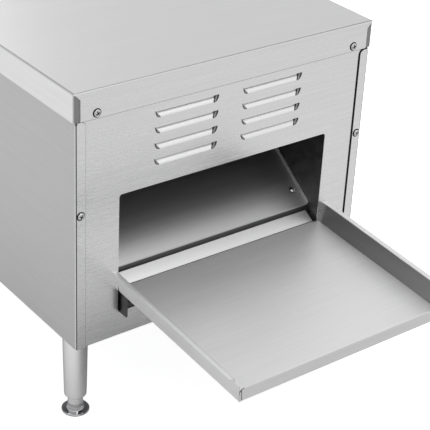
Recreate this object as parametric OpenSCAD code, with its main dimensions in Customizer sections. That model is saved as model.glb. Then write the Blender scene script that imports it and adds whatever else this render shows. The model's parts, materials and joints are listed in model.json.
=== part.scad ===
// Conveyor toaster: a folded steel body on four bullet feet. Bread goes in over the feed rack
// (+Y side), rides a wire belt between two banks of quartz elements, drops onto the chute and
// slides out to the tray on the discharge side (-Y). Millimetres, +Z up. The origin is on the
// bench, under the middle of the whole toaster. Inside the modules, y = 0 is the cover's
// discharge face and z = 0 is the underside of the body.

/* [Body] */
// Width over the top cover
cover_w = 370; // [362:1:400]
// Depth over the top cover
cover_depth = 418; // [410:1:460]
// Height of the body, from its underside to the top of the cover
body_h = 284; // [280:1:310]
// Thickness of the body's sheet
sheet_t = 1.0; // [0.8:0.1:1.2]
// Height of the top cover's skirts
skirt_h = 30; // [26:1:33]
// Width of the cover's folded corner tabs
tab_w = 19; // [14:1:22]
// Width that the end skirts stop short of the cover's corners
skirt_stop = 7.4; // [5:0.1:9]
// Gap between the cover's skirts and the side panels
skirt_gap = 1.0; // [0.6:0.1:1.4]
// How far the side panels' flanges lie behind the skirts
flange_set = 0.4; // [0.2:0.1:0.8]
// Width of the side panels' flanges
flange_w = 11.3; // [10.5:0.1:13]
// Radius of the flanges' inner top corners
flange_r = 5; // [2:0.5:7]
// Clearance between sheets that lie on each other
seam = 0.2; // [0.1:0.05:0.3]
// Thickness of the base plate
base_t = 1.2; // [1:0.1:2]
// Height of the base plate's flanges
base_flange_h = 15; // [10:1:20]

/* [Discharge side] */
// Width of the discharge opening
open_w = 264.4; // [250:0.1:268]
// Height of the discharge opening
open_h = 136.2; // [125:0.1:140]
// Height of the opening's lower edge above the body's underside
open_z = 28; // [24:0.5:34]
// Corner radius of the opening
open_r = 3; // [1:0.5:6]
// Width of one louvre
louvre_w = 77; // [60:1:90]
// Height of one louvre
louvre_h = 7.3; // [5:0.1:9]
// Spacing of the louvres' rows
louvre_pitch = 17.2; // [14:0.1:18]
// Rows of louvres
louvre_rows = 4; // [2:1:4]
// Gap between the two columns of louvres
louvre_gap = 30.2; // [20:0.1:50]
// How far a louvre is pressed in
louvre_depth = 5; // [3:0.5:8]
// Distance from the skirt's lower edge to the top louvre
louvre_drop = 9.5; // [7:0.5:12]

/* [Chute] */
// Depth of the chute's nose behind the cover's face
chute_nose_y = 21.5; // [20.5:0.5:26]
// Height of the chute's nose above the opening's lower edge
chute_nose_rise = 40.6; // [38:0.1:44]
// Slope of the chute
chute_slope = 36.5; // [32:0.5:38]
// Height of the chute's side flanges
chute_flange_h = 6; // [4:0.5:9]
// Height of the chute's nose flange
chute_lip_h = 7.6; // [5:0.1:8]
// Clearance between the chute and the chamber walls
chute_play = 0.5; // [0.3:0.1:1]

/* [Tray] */
// Width of the tray between the tops of its side walls
tray_w = 274; // [266:1:286]
// Length of the tray's floor
tray_depth = 201; // [150:1:260]
// Height of the tray's side walls
tray_h = 24.7; // [20:0.1:25]
// Height of the tray's front wall
tray_front_h = 15.1; // [10:0.1:18]
// How far each side wall leans out
tray_flare = 3; // [0:0.1:5]
// Width of the tray's rims
tray_rim = 4.7; // [3:0.1:7]
// Downward tilt of the tray
tray_tilt = 3.9; // [0:0.1:5]
// Sideways place of the tray in its opening
tray_shift = 2.6; // [0:0.1:2.6]
// Height of the tray's rims at the panel, above the opening's lower edge
tray_rise = 50; // [49.5:0.5:53]
// Length of the tray's ramp
ramp_len = 16; // [10:0.1:17]
// Angle of the ramp to the tray's floor
ramp_rise = 27; // [15:1:30]
// Reach of the hook plates in front of the panel
hook_out = 12.5; // [6:0.5:16]
// Reach of the hook plates behind the panel
hook_in = 12.5; // [8:0.5:14]
// Clearance between the hook plates and the opening's rounded corners
hook_gap = 0.9; // [0.4:0.1:3]

/* [Legs] */
// Height of the body's underside above the bench
leg_h = 103; // [90:1:130]
// Diameter of a leg at its top
leg_d_top = 27.2; // [24:0.1:32]
// Diameter of a leg at its lower end
leg_d_low = 24; // [20:0.1:26]
// Distance of the legs' axes from the outside of the side panels
leg_inset = 20.4; // [18:0.1:26]
// Distance of the legs' axes from the ends of the body
leg_setback = 35; // [30:1:60]
// Diameter of a leg's neck
neck_d = 16.6; // [14:0.1:18]
// Diameter of a foot's disc
foot_d = 30.3; // [24:0.1:36]
// Thickness of a foot's disc
foot_t = 2.6; // [2:0.1:4]
// Height of a foot's collar, disc included
foot_collar_h = 10; // [8:0.5:12]
// Diameter of a foot's threaded stem
stem_d = 10; // [8:0.5:12]

/* [Conveyor] */
// Height of the belt's shafts above the body's underside
belt_z = 198; // [197:1:200]
// Radius of the belt's bends
belt_r = 15; // [14:0.5:15.5]
// Distance of the drive shaft behind the cover's discharge face
drive_y = 150; // [145:1:160]
// Distance of the idler shaft from the cover's feed face
idler_setback = 23; // [22:1:30]
// Width of the belt
belt_w = 250; // [220:1:252]
// Diameter of the belt's rods
rod_d = 3; // [2:0.1:3.4]
// Spacing of the belt's rods
rod_pitch = 13; // [10:0.5:20]
// Diameter of both shafts
shaft_d = 8; // [6:0.5:9]
// Height of the bread slot
slot_h = 40; // [34:1:41]
// Clearance round parts that turn or slide
play = 0.3; // [0.2:0.05:0.4]
// Radial clearance of a shaft in its bush
shaft_play = 0.05; // [0.03:0.01:0.08]

/* [Heating] */
// Diameter of a quartz element
tube_d = 10; // [8:0.5:11]
// Elements in each bank
tube_count = 3; // [2:1:3]
// Height of the upper elements above the belt's upper run
upper_rise = 37; // [36:0.5:39]
// Height of the reflector above the upper elements
reflector_rise = 8; // [7:0.5:10]

/* [Drive] */
// Distance of the motor's shaft behind the cover's discharge face
motor_y = 240; // [225:1:250]
// Height of the motor's shaft above the body's underside
motor_z = 72; // [60:1:85]
// Width of the gearbox
gearbox_w = 58; // [50:1:64]
// Chain pitch
chain_pitch = 6.35; // [6:0.05:6.6]
// Teeth on the motor's sprocket
motor_teeth = 12; // [11:1:14]
// Teeth on the drive shaft's sprocket
shaft_teeth = 18; // [16:1:20]
// Width of the fan's frame
fan_w = 80; // [60:1:92]
// Depth of the fan's frame
fan_h = 25; // [20:1:38]

/* [Feed side] */
// Length of the feed rack along its slope
rack_len = 130; // [100:1:134]
// Slope of the feed rack
rack_slope = 26; // [18:1:27]
// Diameter of the rack's frame wire
wire_d = 4; // [3:0.1:4.4]
// Height of the crumb tray
crumb_h = 15; // [10:1:17]
// Width of the control panel
control_w = 34; // [30:0.5:34]
// Height of the control panel
control_h = 206; // [196:1:212]
// Diameter of a knob's skirt
knob_d = 28; // [24:0.5:30]

/* [Hidden] */
$fn = 64;

// Body planes
cover_x = cover_w / 2;
side_x = cover_x - sheet_t - skirt_gap;
skirt_z = body_h - skirt_h;
flange_top = skirt_z - 0.5;
panel_y = flange_set + sheet_t + seam;
panel_back = panel_y + sheet_t;
panel_x = side_x - sheet_t - seam;
panel_top = body_h - sheet_t - seam;
lid_flange = 12;
tab_back = 2 * sheet_t + seam;

// Chamber planes
chamber_x = open_w / 2 + 0.8;
base_y0 = panel_back + seam;
base_y1 = cover_depth - base_y0;
chamber_y0 = base_y0 + base_t + seam;
chamber_y1 = cover_depth - chamber_y0;
wall_foot = 6;
chamber_z0 = base_t + seam;
chamber_z1 = panel_top - sheet_t - seam;
inner_x = chamber_x - seam;
tray_z = open_z + tray_rise;

// Belt, elements, bread slot and crumb tray
idler_y = cover_depth - idler_setback;
strand_h = 2;
strand_w = 3;
run_top = belt_z + belt_r;
run_bottom = belt_z - belt_r;
belt_reach = belt_r - rod_d / 2 - play;
bush_t = 2;
upper_z = run_top + upper_rise;
lower_z = belt_z + 1.5;
reflector_z = upper_z + reflector_rise;
lower_reflector_z = run_bottom + 6;
reflector_y0 = drive_y + belt_r + 3;
reflector_y1 = idler_y - belt_r - 3;
slot_z = run_top - 5;
crumb_z = run_bottom - 23;
crumb_y0 = drive_y + belt_r + 3;
crumb_x = chamber_x - 5.8;
insulator_d = tube_d + 5;

// Chute
chute_x = chamber_x - chute_play;
chute_nose_z = open_z + chute_nose_rise;
chute_len = (drive_y + 6 - chute_nose_y) / cos(chute_slope);
chute_screw_x = chute_x - 8.5;
chute_screw_along = [20.5, chute_len - 30];
floor_z = open_z - 1;
floor_back = drive_y - 8;
chute_bracket_leg = 12;

// Tray
tray_y = panel_y - play;
hook_clear = open_r - sqrt(pow(open_r, 2) - pow(open_r - play, 2)) + hook_gap;
hook_x = open_w / 2 - hook_clear;
hook_r = 2;
hook_drop = 1.6;
tray_floor_x = tray_w / 2 - tray_flare;
rim_cut = 7;
rim_drop = 4.7;
front_corner_r = 6;
tray_out = tray_depth * cos(tray_tilt) - rim_drop * sin(tray_tilt) - tray_y;

// Legs and feet
leg_x = side_x - leg_inset;
leg_places = [[-leg_x, leg_setback], [leg_x, leg_setback],
    [-leg_x, cover_depth - leg_setback], [leg_x, cover_depth - leg_setback]];
leg_low = -leg_h + 21.2;
neck_top = leg_low - 3.2;
stud_r = 4;
stem_len = 26;

// Feed rack
feed_face = cover_depth - panel_y;
pivot_y = cover_depth + 6;
pivot_z = slot_z + 4;
rack_x = chamber_x - 11;
rack_out = pivot_y - cover_depth + (rack_len + wire_d / 2) * cos(rack_slope) + wire_d / 2 * sin(rack_slope);
bracket_x = rack_x - 12;
bracket_base_h = 16;
rack_pivot_r = wire_d / 2 - 0.3;

// Controls
control_x = -(chamber_x + wall_foot + 0.4 + control_w / 2 - 3);
control_drop = 12;
lamp_drop = 20;
lamp_pitch = 20;
speed_drop = 76;
rocker_rise = 30;
heat_pitch = 48;
control_top = skirt_z - control_drop;
control_z0 = control_top - control_h;
control_t = 1.0;
control_face = feed_face + control_t;
lamp_z = [control_top - lamp_drop, control_top - lamp_drop - lamp_pitch];
speed_z = control_top - speed_drop;
heat_z = speed_z - heat_pitch;
rocker_z = control_z0 + rocker_rise;
bushing_r = 4.8;
spindle_r = 3;
switch_h = 21;
switch_w = 13;
rocker_r = 8.2;
rocker_tilt = 8;
rocker_y = control_face + 1;

// Chain
chain_x = -(chamber_x + 17);
chain_half = 2.6;
chain_w = 3.4;
chain_gap = play + 0.5;
motor_pitch_r = chain_pitch / (2 * sin(180 / motor_teeth));
shaft_pitch_r = chain_pitch / (2 * sin(180 / shaft_teeth));
chain_run = norm([drive_y - motor_y, belt_z - motor_z]);
chain_angle = atan2(belt_z - motor_z, drive_y - motor_y);
sprocket_w = 3;

// Motor
bracket_t = 1.5;
motor_face = -chamber_x + 5.7;
gearbox_l = 32;
motor_can_l = 58;
motor_screw = gearbox_w / 2 - 8;
bracket_foot = 34;

// Fan
fan_x = 60;
fan_y = 320;
fan_bore = fan_w / 2 - 2;
fan_hub = 16;
fan_hole = fan_w / 2 - 4.25;

// Fasteners
screw_r = 2;
hole_r = 2.2;
head_r = 4;
head_h = 2.4;
cover_screw_x = cover_x - 25.5;
cover_screw_z = skirt_z + 5.6;
flange_screw_x = side_x - 5.9;
flange_screw_rise = 126;
flange_screw_z = open_z + flange_screw_rise;
gland_x = side_x - 26;
gland_z = 27;
gland_r = 8;
block_y = 50;

front_y = tray_out - (tray_out + cover_depth + rack_out) / 2;

// Places the body's own frame in the part's frame
module in_body() {
    translate([0, front_y, leg_h]) children();
}

// A block from one corner, by its size
module block(corner, size) {
    translate(corner) cube(size);
}

// An X-Z outline, from y to y + t
module upright(y, t) {
    translate([0, y + t, 0]) rotate([90, 0, 0]) linear_extrude(t) children();
}

// A Y-Z outline, from x to x + t
module side_on(x, t) {
    translate([x, 0, 0]) rotate([90, 0, 90]) linear_extrude(t) children();
}

// A round rod or hole along X, Y or Z, from its start
module rod_x(at, len, r) {
    translate(at) rotate([0, 90, 0]) cylinder(h = len, r = r);
}
module rod_y(at, len, r) {
    translate(at) rotate([-90, 0, 0]) cylinder(h = len, r = r);
}
module rod_z(at, len, r) {
    translate(at) cylinder(h = len, r = r);
}

module both_sides() {
    children();
    mirror([1, 0, 0]) children();
}

// The children at the discharge end, and mirrored to the feed end
module both_ends() {
    children();
    translate([0, cover_depth, 0]) mirror([0, 1, 0]) children();
}

// A pan-head screw along Z: the head's seat is z = 0, and the shank points down
module screw(len, head = head_r) {
    difference() {
        union() {
            cylinder(h = head_h * 0.6, r = head);
            translate([0, 0, head_h * 0.6]) cylinder(h = head_h * 0.4, r1 = head, r2 = head * 0.7);
            translate([0, 0, -len]) cylinder(h = len, r = screw_r);
        }
        for (turn = [0, 90]) rotate([0, 0, turn])
            translate([-head * 0.5, -0.5, head_h * 0.5]) cube([head, 1, head_h]);
    }
}
module screw_to_discharge(at, len) {
    translate(at) rotate([90, 0, 0]) screw(len);
}
module screw_to_feed(at, len) {
    translate(at) rotate([-90, 0, 0]) screw(len);
}

// ---- Shell ----

module skirt_outline() {
    end_x = cover_x - skirt_stop;
    polygon([[-end_x, skirt_z], [end_x, skirt_z], [end_x, body_h - skirt_stop],
        [cover_x, body_h], [-cover_x, body_h], [-end_x, body_h - skirt_stop]]);
}

module top_cover() {
    color("gainsboro") in_body() difference() {
        union() {
            block([-cover_x, 0, body_h - sheet_t], [cover_w, cover_depth, sheet_t]);
            both_ends() upright(0, sheet_t) skirt_outline();
            both_sides() block([cover_x - sheet_t, sheet_t, skirt_z],
                [sheet_t, cover_depth - 2 * sheet_t, skirt_h]);
            both_ends() both_sides() block([cover_x - tab_w, sheet_t, skirt_z],
                [tab_w, sheet_t, skirt_h]);
        }
        both_ends() both_sides() rod_y([cover_screw_x, -1, cover_screw_z], 4, hole_r);
    }
}

module flange_outline() {
    translate([side_x - flange_w, 0]) {
        square([flange_w, flange_top - flange_r]);
        translate([flange_r, 0]) square([flange_w - flange_r, flange_top]);
        translate([flange_r, flange_top - flange_r]) circle(flange_r);
    }
}

module side_panel() {
    difference() {
        union() {
            block([side_x - sheet_t, flange_set, 0],
                [sheet_t, cover_depth - 2 * flange_set, flange_top]);
            block([side_x - sheet_t, tab_back, 0],
                [sheet_t, cover_depth - 2 * tab_back, panel_top]);
            block([side_x - lid_flange, tab_back, panel_top - sheet_t],
                [lid_flange, cover_depth - 2 * tab_back, sheet_t]);
            both_ends() upright(flange_set, sheet_t) flange_outline();
        }
        both_ends() rod_y([flange_screw_x, -1, flange_screw_z], 4, hole_r);
        base_screw_places() rod_x([side_x - 2, 0, 0], 4, hole_r);
    }
}

// The screws that hold a side panel to the base plate's flange
module base_screw_places() {
    for (y = [cover_depth * 0.5, cover_depth - 70])
        translate([0, y, base_flange_h / 2 + 1]) children();
}

module left_side_panel() {
    color("silver") in_body() mirror([1, 0, 0]) side_panel();
}
module right_side_panel() {
    color("silver") in_body() side_panel();
}

// An end panel's sheet: its upper corners clear the cover's tabs
module end_panel_outline() {
    notch_x = cover_x - tab_w - 1;
    polygon([[-panel_x, 0], [panel_x, 0], [panel_x, skirt_z - seam], [notch_x, skirt_z - seam],
        [notch_x, panel_top], [-notch_x, panel_top], [-notch_x, skirt_z - seam],
        [-panel_x, skirt_z - seam]]);
}

// A hole with round corners, centred on x = 0
module window_outline(w, z, h, r) {
    translate([-w / 2 + r, z]) square([w - 2 * r, h]);
    translate([-w / 2, z + r]) square([w, h - 2 * r]);
    for (x = [-w / 2 + r, w / 2 - r], y = [z + r, z + h - r]) translate([x, y]) circle(r);
}

module end_panel_flange() {
    flange_x = cover_x - tab_w - 4;
    block([-flange_x, panel_y, panel_top - sheet_t], [2 * flange_x, lid_flange, sheet_t]);
}

module end_screw_holes() {
    both_sides() {
        rod_y([cover_screw_x, -1, cover_screw_z], panel_back + 4, hole_r);
        rod_y([flange_screw_x, -1, flange_screw_z], panel_back + 4, hole_r);
    }
}

function louvre_z(row) = skirt_z - louvre_drop - row * louvre_pitch - louvre_h;

// One louvre: a blade that leans in from its lower edge, between two closed cheeks
module louvre() {
    top_y = panel_y + louvre_depth;
    side_on(0, louvre_w) polygon([[panel_y, 0], [panel_back, 0],
        [top_y + sheet_t, louvre_h], [top_y, louvre_h]]);
    for (x = [0, louvre_w - sheet_t])
        side_on(x, sheet_t) polygon([[panel_y, 0], [top_y + sheet_t, louvre_h], [panel_y, louvre_h]]);
}

module louvre_places() {
    for (row = [0 : louvre_rows - 1], x = [-louvre_gap / 2 - louvre_w, louvre_gap / 2])
        translate([x, 0, louvre_z(row)]) children();
}

module discharge_panel() {
    color("gainsboro") in_body() {
        difference() {
            union() {
                upright(panel_y, sheet_t) end_panel_outline();
                end_panel_flange();
            }
            upright(0, panel_back + 3) window_outline(open_w, open_z, open_h, open_r);
            louvre_places() block([0, 0, 0], [louvre_w, panel_back + 3, louvre_h]);
            end_screw_holes();
            rod_y([gland_x, -1, gland_z], 6, gland_r + 0.2);
        }
        louvre_places() louvre();
    }
}

// Cut-outs for the controls, through the feed panel and the control panel
module control_holes() {
    for (z = [speed_z, heat_z]) rod_y([control_x, feed_face - 4, z], 8, bushing_r + 0.3);
    for (z = lamp_z) rod_y([control_x, feed_face - 4, z], 8, 4.2);
    block([control_x - switch_w / 2 - 0.2, feed_face - 4, rocker_z - switch_h / 2 - 0.2],
        [switch_w + 0.4, 8, switch_h + 0.4]);
    control_screw_places() rod_y([0, feed_face - 4, 0], 8, hole_r);
}

module control_screw_places() {
    for (x = [-1, 1], z = [control_z0 + 6, control_z0 + control_h - 6])
        translate([control_x + x * (control_w / 2 - 6), 0, z]) children();
}

module feed_panel() {
    crumb_slot_x = crumb_x + 1;
    color("gainsboro") in_body() difference() {
        translate([0, cover_depth, 0]) mirror([0, 1, 0]) difference() {
            union() {
                upright(panel_y, sheet_t) end_panel_outline();
                end_panel_flange();
            }
            end_screw_holes();
        }
        upright(feed_face - 4, 6) window_outline(open_w, slot_z, slot_h, open_r);
        block([-crumb_slot_x, feed_face - 4, crumb_z - 1.2], [2 * crumb_slot_x, 6, crumb_h + 2.4]);
        control_holes();
        bracket_screw_places() rod_y([0, feed_face - 4, 0], 6, hole_r);
    }
}

module control_panel() {
    color("dimgray") in_body() difference() {
        block([control_x - control_w / 2, feed_face, control_z0], [control_w, control_t, control_h]);
        control_holes();
    }
}

module base_plate() {
    base_x = panel_x;
    slot_w = 4;
    color("silver") in_body() difference() {
        union() {
            block([-base_x, base_y0, 0], [2 * base_x, base_y1 - base_y0, base_t]);
            both_sides() block([base_x - base_t, base_y0, 0], [base_t, base_y1 - base_y0, base_flange_h]);
            both_ends() block([-base_x, base_y0, 0], [2 * base_x, base_t, base_flange_h]);
        }
        for (place = leg_places) rod_z([place[0], place[1], -1], 6, stud_r + 0.3);
        for (row = [-3 : 3]) {
            reach = sqrt(pow(fan_bore - 2, 2) - pow(row * fan_bore / 4, 2));
            block([fan_x - reach, fan_y + row * fan_bore / 4 - slot_w / 2, -1], [2 * reach, slot_w, 6]);
        }
        fan_corners() rod_z([0, 0, -1], 6, hole_r);
        motor_foot_places() rod_z([0, 0, -1], 6, hole_r);
        both_sides() base_screw_places() rod_x([base_x - 3, 0, 0], 4, hole_r);
    }
}

// ---- Legs ----

module leg(place) {
    color("silver") in_body() translate([place[0], place[1], 0]) difference() {
        union() {
            translate([0, 0, leg_low]) cylinder(h = -leg_low, r1 = leg_d_low / 2, r2 = leg_d_top / 2);
            translate([0, 0, neck_top]) cylinder(h = leg_low - neck_top, r1 = neck_d / 2, r2 = leg_d_low / 2);
            rod_z([0, 0, foot_collar_h - leg_h + play], neck_top + leg_h - foot_collar_h - play, neck_d / 2);
            rod_z([0, 0, 0], 10, stud_r);
        }
        rod_z([0, 0, -leg_h], foot_collar_h + stem_len + 3, stem_d / 2 + play);
    }
}
module leg_discharge_left() { leg(leg_places[0]); }
module leg_discharge_right() { leg(leg_places[1]); }
module leg_feed_left() { leg(leg_places[2]); }
module leg_feed_right() { leg(leg_places[3]); }

module foot(place) {
    color("lightgray") in_body() translate([place[0], place[1], -leg_h]) {
        cylinder(h = 0.6, r1 = foot_d / 2 - 0.6, r2 = foot_d / 2);
        rod_z([0, 0, 0.6], foot_t - 0.6, foot_d / 2);
        rod_z([0, 0, foot_t], 4, neck_d / 2 + 0.4);
        rod_z([0, 0, foot_t], foot_collar_h - foot_t, neck_d / 2);
        rod_z([0, 0, foot_t], foot_collar_h + stem_len - foot_t, stem_d / 2);
    }
}
module foot_discharge_left() { foot(leg_places[0]); }
module foot_discharge_right() { foot(leg_places[1]); }
module foot_feed_left() { foot(leg_places[2]); }
module foot_feed_right() { foot(leg_places[3]); }

module leg_nuts() {
    nut_h = 6.5;
    nut_r = stud_r + 3.5;
    color("lightgray") in_body() for (place = leg_places) translate([place[0], place[1], base_t])
        difference() {
            cylinder(h = nut_h, r = nut_r, $fn = 6);
            rod_z([0, 0, -1], nut_h + 2, stud_r + shaft_play);
        }
}

// ---- Tray and chute ----

module tray_section() {
    top_x = tray_w / 2;
    low_x = tray_floor_x;
    polygon([[top_x + tray_rim, 0], [top_x + tray_rim, -sheet_t], [top_x, -sheet_t],
        [low_x, -tray_h], [-low_x, -tray_h], [-top_x, -sheet_t], [-top_x - tray_rim, -sheet_t],
        [-top_x - tray_rim, 0], [-top_x + sheet_t, 0], [-low_x + sheet_t, sheet_t - tray_h],
        [low_x - sheet_t, sheet_t - tray_h], [top_x - sheet_t, 0]]);
}

module tray_front_outline() {
    in_wall = sheet_t / 2;
    low_x = tray_floor_x - in_wall;
    top_x = low_x + tray_flare * tray_front_h / tray_h;
    r = front_corner_r;
    translate([0, -tray_h + in_wall]) {
        polygon([[-low_x, 0], [low_x, 0], [top_x, tray_front_h - r],
            [top_x - r, tray_front_h - in_wall], [r - top_x, tray_front_h - in_wall],
            [-top_x, tray_front_h - r]]);
        for (x = [r - top_x, top_x - r]) translate([x, tray_front_h - in_wall - r]) circle(r - 0.05);
    }
}

// The tray's floor line in the body's frame, at its mid thickness
function tray_floor_z(y) = tray_z - tray_h * cos(tray_tilt)
    + (y - tray_y - tray_h * sin(tray_tilt)) * tan(tray_tilt) + sheet_t / 2;

module hook_outline() {
    low = open_z + play;
    out_y = tray_y - hook_out;
    in_y = tray_y + hook_in;
    bend_y = tray_y + 4;
    tip = low - hook_drop;
    polygon([[out_y, tip + hook_r], [out_y + hook_r, tip], [tray_y, tip], [tray_y, low], [in_y, low],
        [in_y, low + 12], [bend_y, tray_floor_z(bend_y)], [out_y, tray_floor_z(out_y)]]);
    translate([out_y + hook_r, tip + hook_r]) circle(hook_r);
}

// The bent strip from the tray's floor up to the ramp's end
module ramp_outline() {
    bend_y = 2.6;
    end = [bend_y + ramp_len * cos(ramp_rise), ramp_len * sin(ramp_rise)];
    polygon([[-4, 0], [bend_y, 0], end, end + sheet_t * [-sin(ramp_rise), cos(ramp_rise)],
        [bend_y - sheet_t * tan(ramp_rise / 2), sheet_t], [-4, sheet_t]]);
}

module toast_tray() {
    in_wall = sheet_t / 2;
    stop_w = tray_rim - 0.3;
    ramp_x = hook_x - in_wall;
    color("lightgray") in_body() translate([tray_shift, 0, 0]) {
        difference() {
            translate([0, tray_y, tray_z]) rotate([tray_tilt, 0, 0]) {
                difference() {
                    upright(-tray_depth, tray_depth + 6) tray_section();
                    block([-tray_w, -tray_depth - 1, -rim_drop], [2 * tray_w, rim_cut + 1, rim_drop + 1]);
                }
                upright(-tray_depth, sheet_t) tray_front_outline();
            }
            block([-tray_w, tray_y, 0], [2 * tray_w, 40, body_h]);
        }
        both_sides() translate([0, 0, tray_z]) upright(tray_y - sheet_t, sheet_t)
            polygon([[tray_w / 2 - in_wall, -in_wall], [tray_w / 2 + stop_w, -in_wall],
                [tray_floor_x + stop_w, in_wall - tray_h], [tray_floor_x - in_wall, in_wall - tray_h]]);
        translate([-tray_shift, 0, 0]) {
            translate([0, tray_y, tray_z]) rotate([tray_tilt, 0, 0]) translate([0, 0, -tray_h])
                side_on(-ramp_x, 2 * ramp_x) ramp_outline();
            both_sides() side_on(hook_x - sheet_t, sheet_t) hook_outline();
        }
    }
}

// The chute's own frame: y runs up the slope from the nose, z = 0 is its top surface
module on_chute() {
    translate([0, chute_nose_y, chute_nose_z]) rotate([chute_slope, 0, 0]) children();
}

module toast_chute() {
    color("lightgray") in_body() {
        difference() {
            on_chute() {
                block([-chute_x, 0, -sheet_t], [2 * chute_x, chute_len, sheet_t]);
                both_sides() block([chute_x - sheet_t, 0, -sheet_t],
                    [sheet_t, chute_len, sheet_t + chute_flange_h]);
            }
            block([-chute_x - 1, chute_nose_y - 20, chute_nose_z - 20], [2 * chute_x + 2, 20, 60]);
            on_chute() chute_screw_places() rod_z([0, 0, -4], 8, hole_r);
        }
        lip_x = chute_x - sheet_t / 2;
        block([-lip_x, chute_nose_y, chute_nose_z - chute_lip_h],
            [2 * lip_x, sheet_t, chute_lip_h - sheet_t / 2]);
    }
}

module chute_screw_places() {
    for (x = [-chute_screw_x, chute_screw_x], along = chute_screw_along)
        translate([x, along, 0]) children();
}

module chute_brackets() {
    leg_w = 15;
    start = 10;
    color("silver") in_body() on_chute() difference() {
        both_sides() {
            block([inner_x - leg_w, start, -2 * sheet_t], [leg_w, chute_len - start - 8, sheet_t]);
            block([inner_x - sheet_t, start, -sheet_t - chute_bracket_leg],
                [sheet_t, chute_len - start - 8, chute_bracket_leg]);
        }
        chute_screw_places() rod_z([0, 0, -4], 8, hole_r);
    }
}

module chute_screws() {
    color("gray") in_body() on_chute() chute_screw_places() screw(6, 3.4);
}

// ---- Chamber ----

module element_places(z) {
    for (i = [1 : tube_count])
        translate([0, drive_y + i * (idler_y - drive_y) / (tube_count + 1), z]) children();
}

module shaft_places() {
    for (y = [drive_y, idler_y]) translate([0, y, belt_z]) children();
}

module chamber_wall() {
    vents = 5;
    vent_y = fan_y - 30;
    vent_z = 30;
    vent_w = 6;
    vent_h = 36;
    vent_pitch = 14;
    difference() {
        union() {
            block([chamber_x, chamber_y0, chamber_z0],
                [sheet_t, chamber_y1 - chamber_y0, chamber_z1 - chamber_z0]);
            both_ends() block([chamber_x, chamber_y0, chamber_z0],
                [wall_foot, sheet_t, chamber_z1 - chamber_z0]);
            block([chamber_x, chamber_y0, chamber_z0], [wall_foot, chamber_y1 - chamber_y0, sheet_t]);
        }
        shaft_places() rod_x([chamber_x - 1, 0, 0], 3, shaft_d / 2 + bush_t + seam);
        for (z = [upper_z, lower_z])
            element_places(z) rod_x([chamber_x - 1, 0, 0], 3, insulator_d / 2 + seam);
        for (i = [0 : vents - 1]) block([chamber_x - 1, vent_y + i * vent_pitch, vent_z],
            [sheet_t + 2, vent_w, vent_h]);
    }
}

module chamber_left_wall() {
    color("silver") in_body() difference() {
        mirror([1, 0, 0]) chamber_wall();
        rod_x([-chamber_x - 2, motor_y, motor_z], 3, shaft_d / 2 + 5);
    }
}
module chamber_right_wall() {
    color("silver") in_body() chamber_wall();
}

module chamber_floor() {
    flange = 10;
    back_top = chute_nose_z + (floor_back - chute_nose_y) * tan(chute_slope)
        - (chute_bracket_leg + 2 * sheet_t) / cos(chute_slope) - 2 * play;
    color("silver") in_body() {
        block([-inner_x, chamber_y0, floor_z - sheet_t], [2 * inner_x, floor_back - chamber_y0, sheet_t]);
        block([-inner_x, floor_back - sheet_t, floor_z - sheet_t],
            [2 * inner_x, sheet_t, back_top - floor_z + sheet_t]);
        both_sides() block([inner_x - sheet_t, chamber_y0, floor_z - flange],
            [sheet_t, floor_back - chamber_y0, flange]);
    }
}

module upper_reflector() {
    lip = 7;
    side_flange = 10;
    len = reflector_y1 - reflector_y0;
    color("lightgray") in_body() {
        block([-inner_x, reflector_y0, reflector_z], [2 * inner_x, len, sheet_t]);
        both_sides() block([inner_x - sheet_t, reflector_y0, reflector_z], [sheet_t, len, side_flange]);
        for (y = [reflector_y0, reflector_y1 - sheet_t])
            block([-inner_x, y, reflector_z - lip], [2 * inner_x, sheet_t, lip + sheet_t]);
    }
}

module lower_reflector() {
    side_flange = 6;
    len = reflector_y1 - reflector_y0;
    color("lightgray") in_body() {
        block([-inner_x, reflector_y0, lower_reflector_z], [2 * inner_x, len, sheet_t]);
        both_sides() block([inner_x - sheet_t, reflector_y0, lower_reflector_z + sheet_t - side_flange],
            [sheet_t, len, side_flange]);
    }
}

module elements(z) {
    half = chamber_x + 5;
    color("ivory") in_body() element_places(z) rod_x([-half, 0, 0], 2 * half, tube_d / 2);
}
module upper_elements() { elements(upper_z); }
module lower_elements() { elements(lower_z); }

module element_insulators() {
    tube_end = chamber_x + 5;
    color("white") in_body() for (z = [upper_z, lower_z]) element_places(z) both_sides() difference() {
        union() {
            rod_x([chamber_x - 4, 0, 0], 12, insulator_d / 2);
            rod_x([chamber_x + sheet_t + seam, 0, 0], 2, insulator_d / 2 + 2);
        }
        rod_x([chamber_x - 5, 0, 0], tube_end + 0.3 - chamber_x + 5, tube_d / 2 + 0.1);
    }
}

module toast_deflector() {
    bend_r = 38;
    face_y = chute_nose_y + 2;
    top_z = reflector_z + 4;
    low_z = open_z + open_h + 6;
    end_y = reflector_y0 - 2;
    side_flange = 8;
    color("silver") in_body() {
        side_on(-inner_x, 2 * inner_x) {
            translate([face_y + bend_r, top_z - bend_r]) intersection() {
                difference() {
                    circle(bend_r);
                    circle(bend_r - sheet_t);
                }
                translate([-bend_r, 0]) square(bend_r);
            }
            translate([face_y, low_z]) square([sheet_t, top_z - bend_r - low_z]);
            translate([face_y + bend_r, top_z - sheet_t]) square([end_y - face_y - bend_r, sheet_t]);
        }
        both_sides() block([inner_x - sheet_t, face_y + bend_r, top_z - sheet_t],
            [sheet_t, end_y - face_y - bend_r, side_flange]);
    }
}

// ---- Conveyor ----

// The belt's run as a solid outline in Y-Z, of radius r about both shafts
module belt_outline(r) {
    translate([drive_y, belt_z]) circle(r);
    translate([idler_y, belt_z]) circle(r);
    translate([drive_y, belt_z - r]) square([idler_y - drive_y, 2 * r]);
}

belt_len = 2 * (idler_y - drive_y) + 2 * PI * belt_r;

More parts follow.
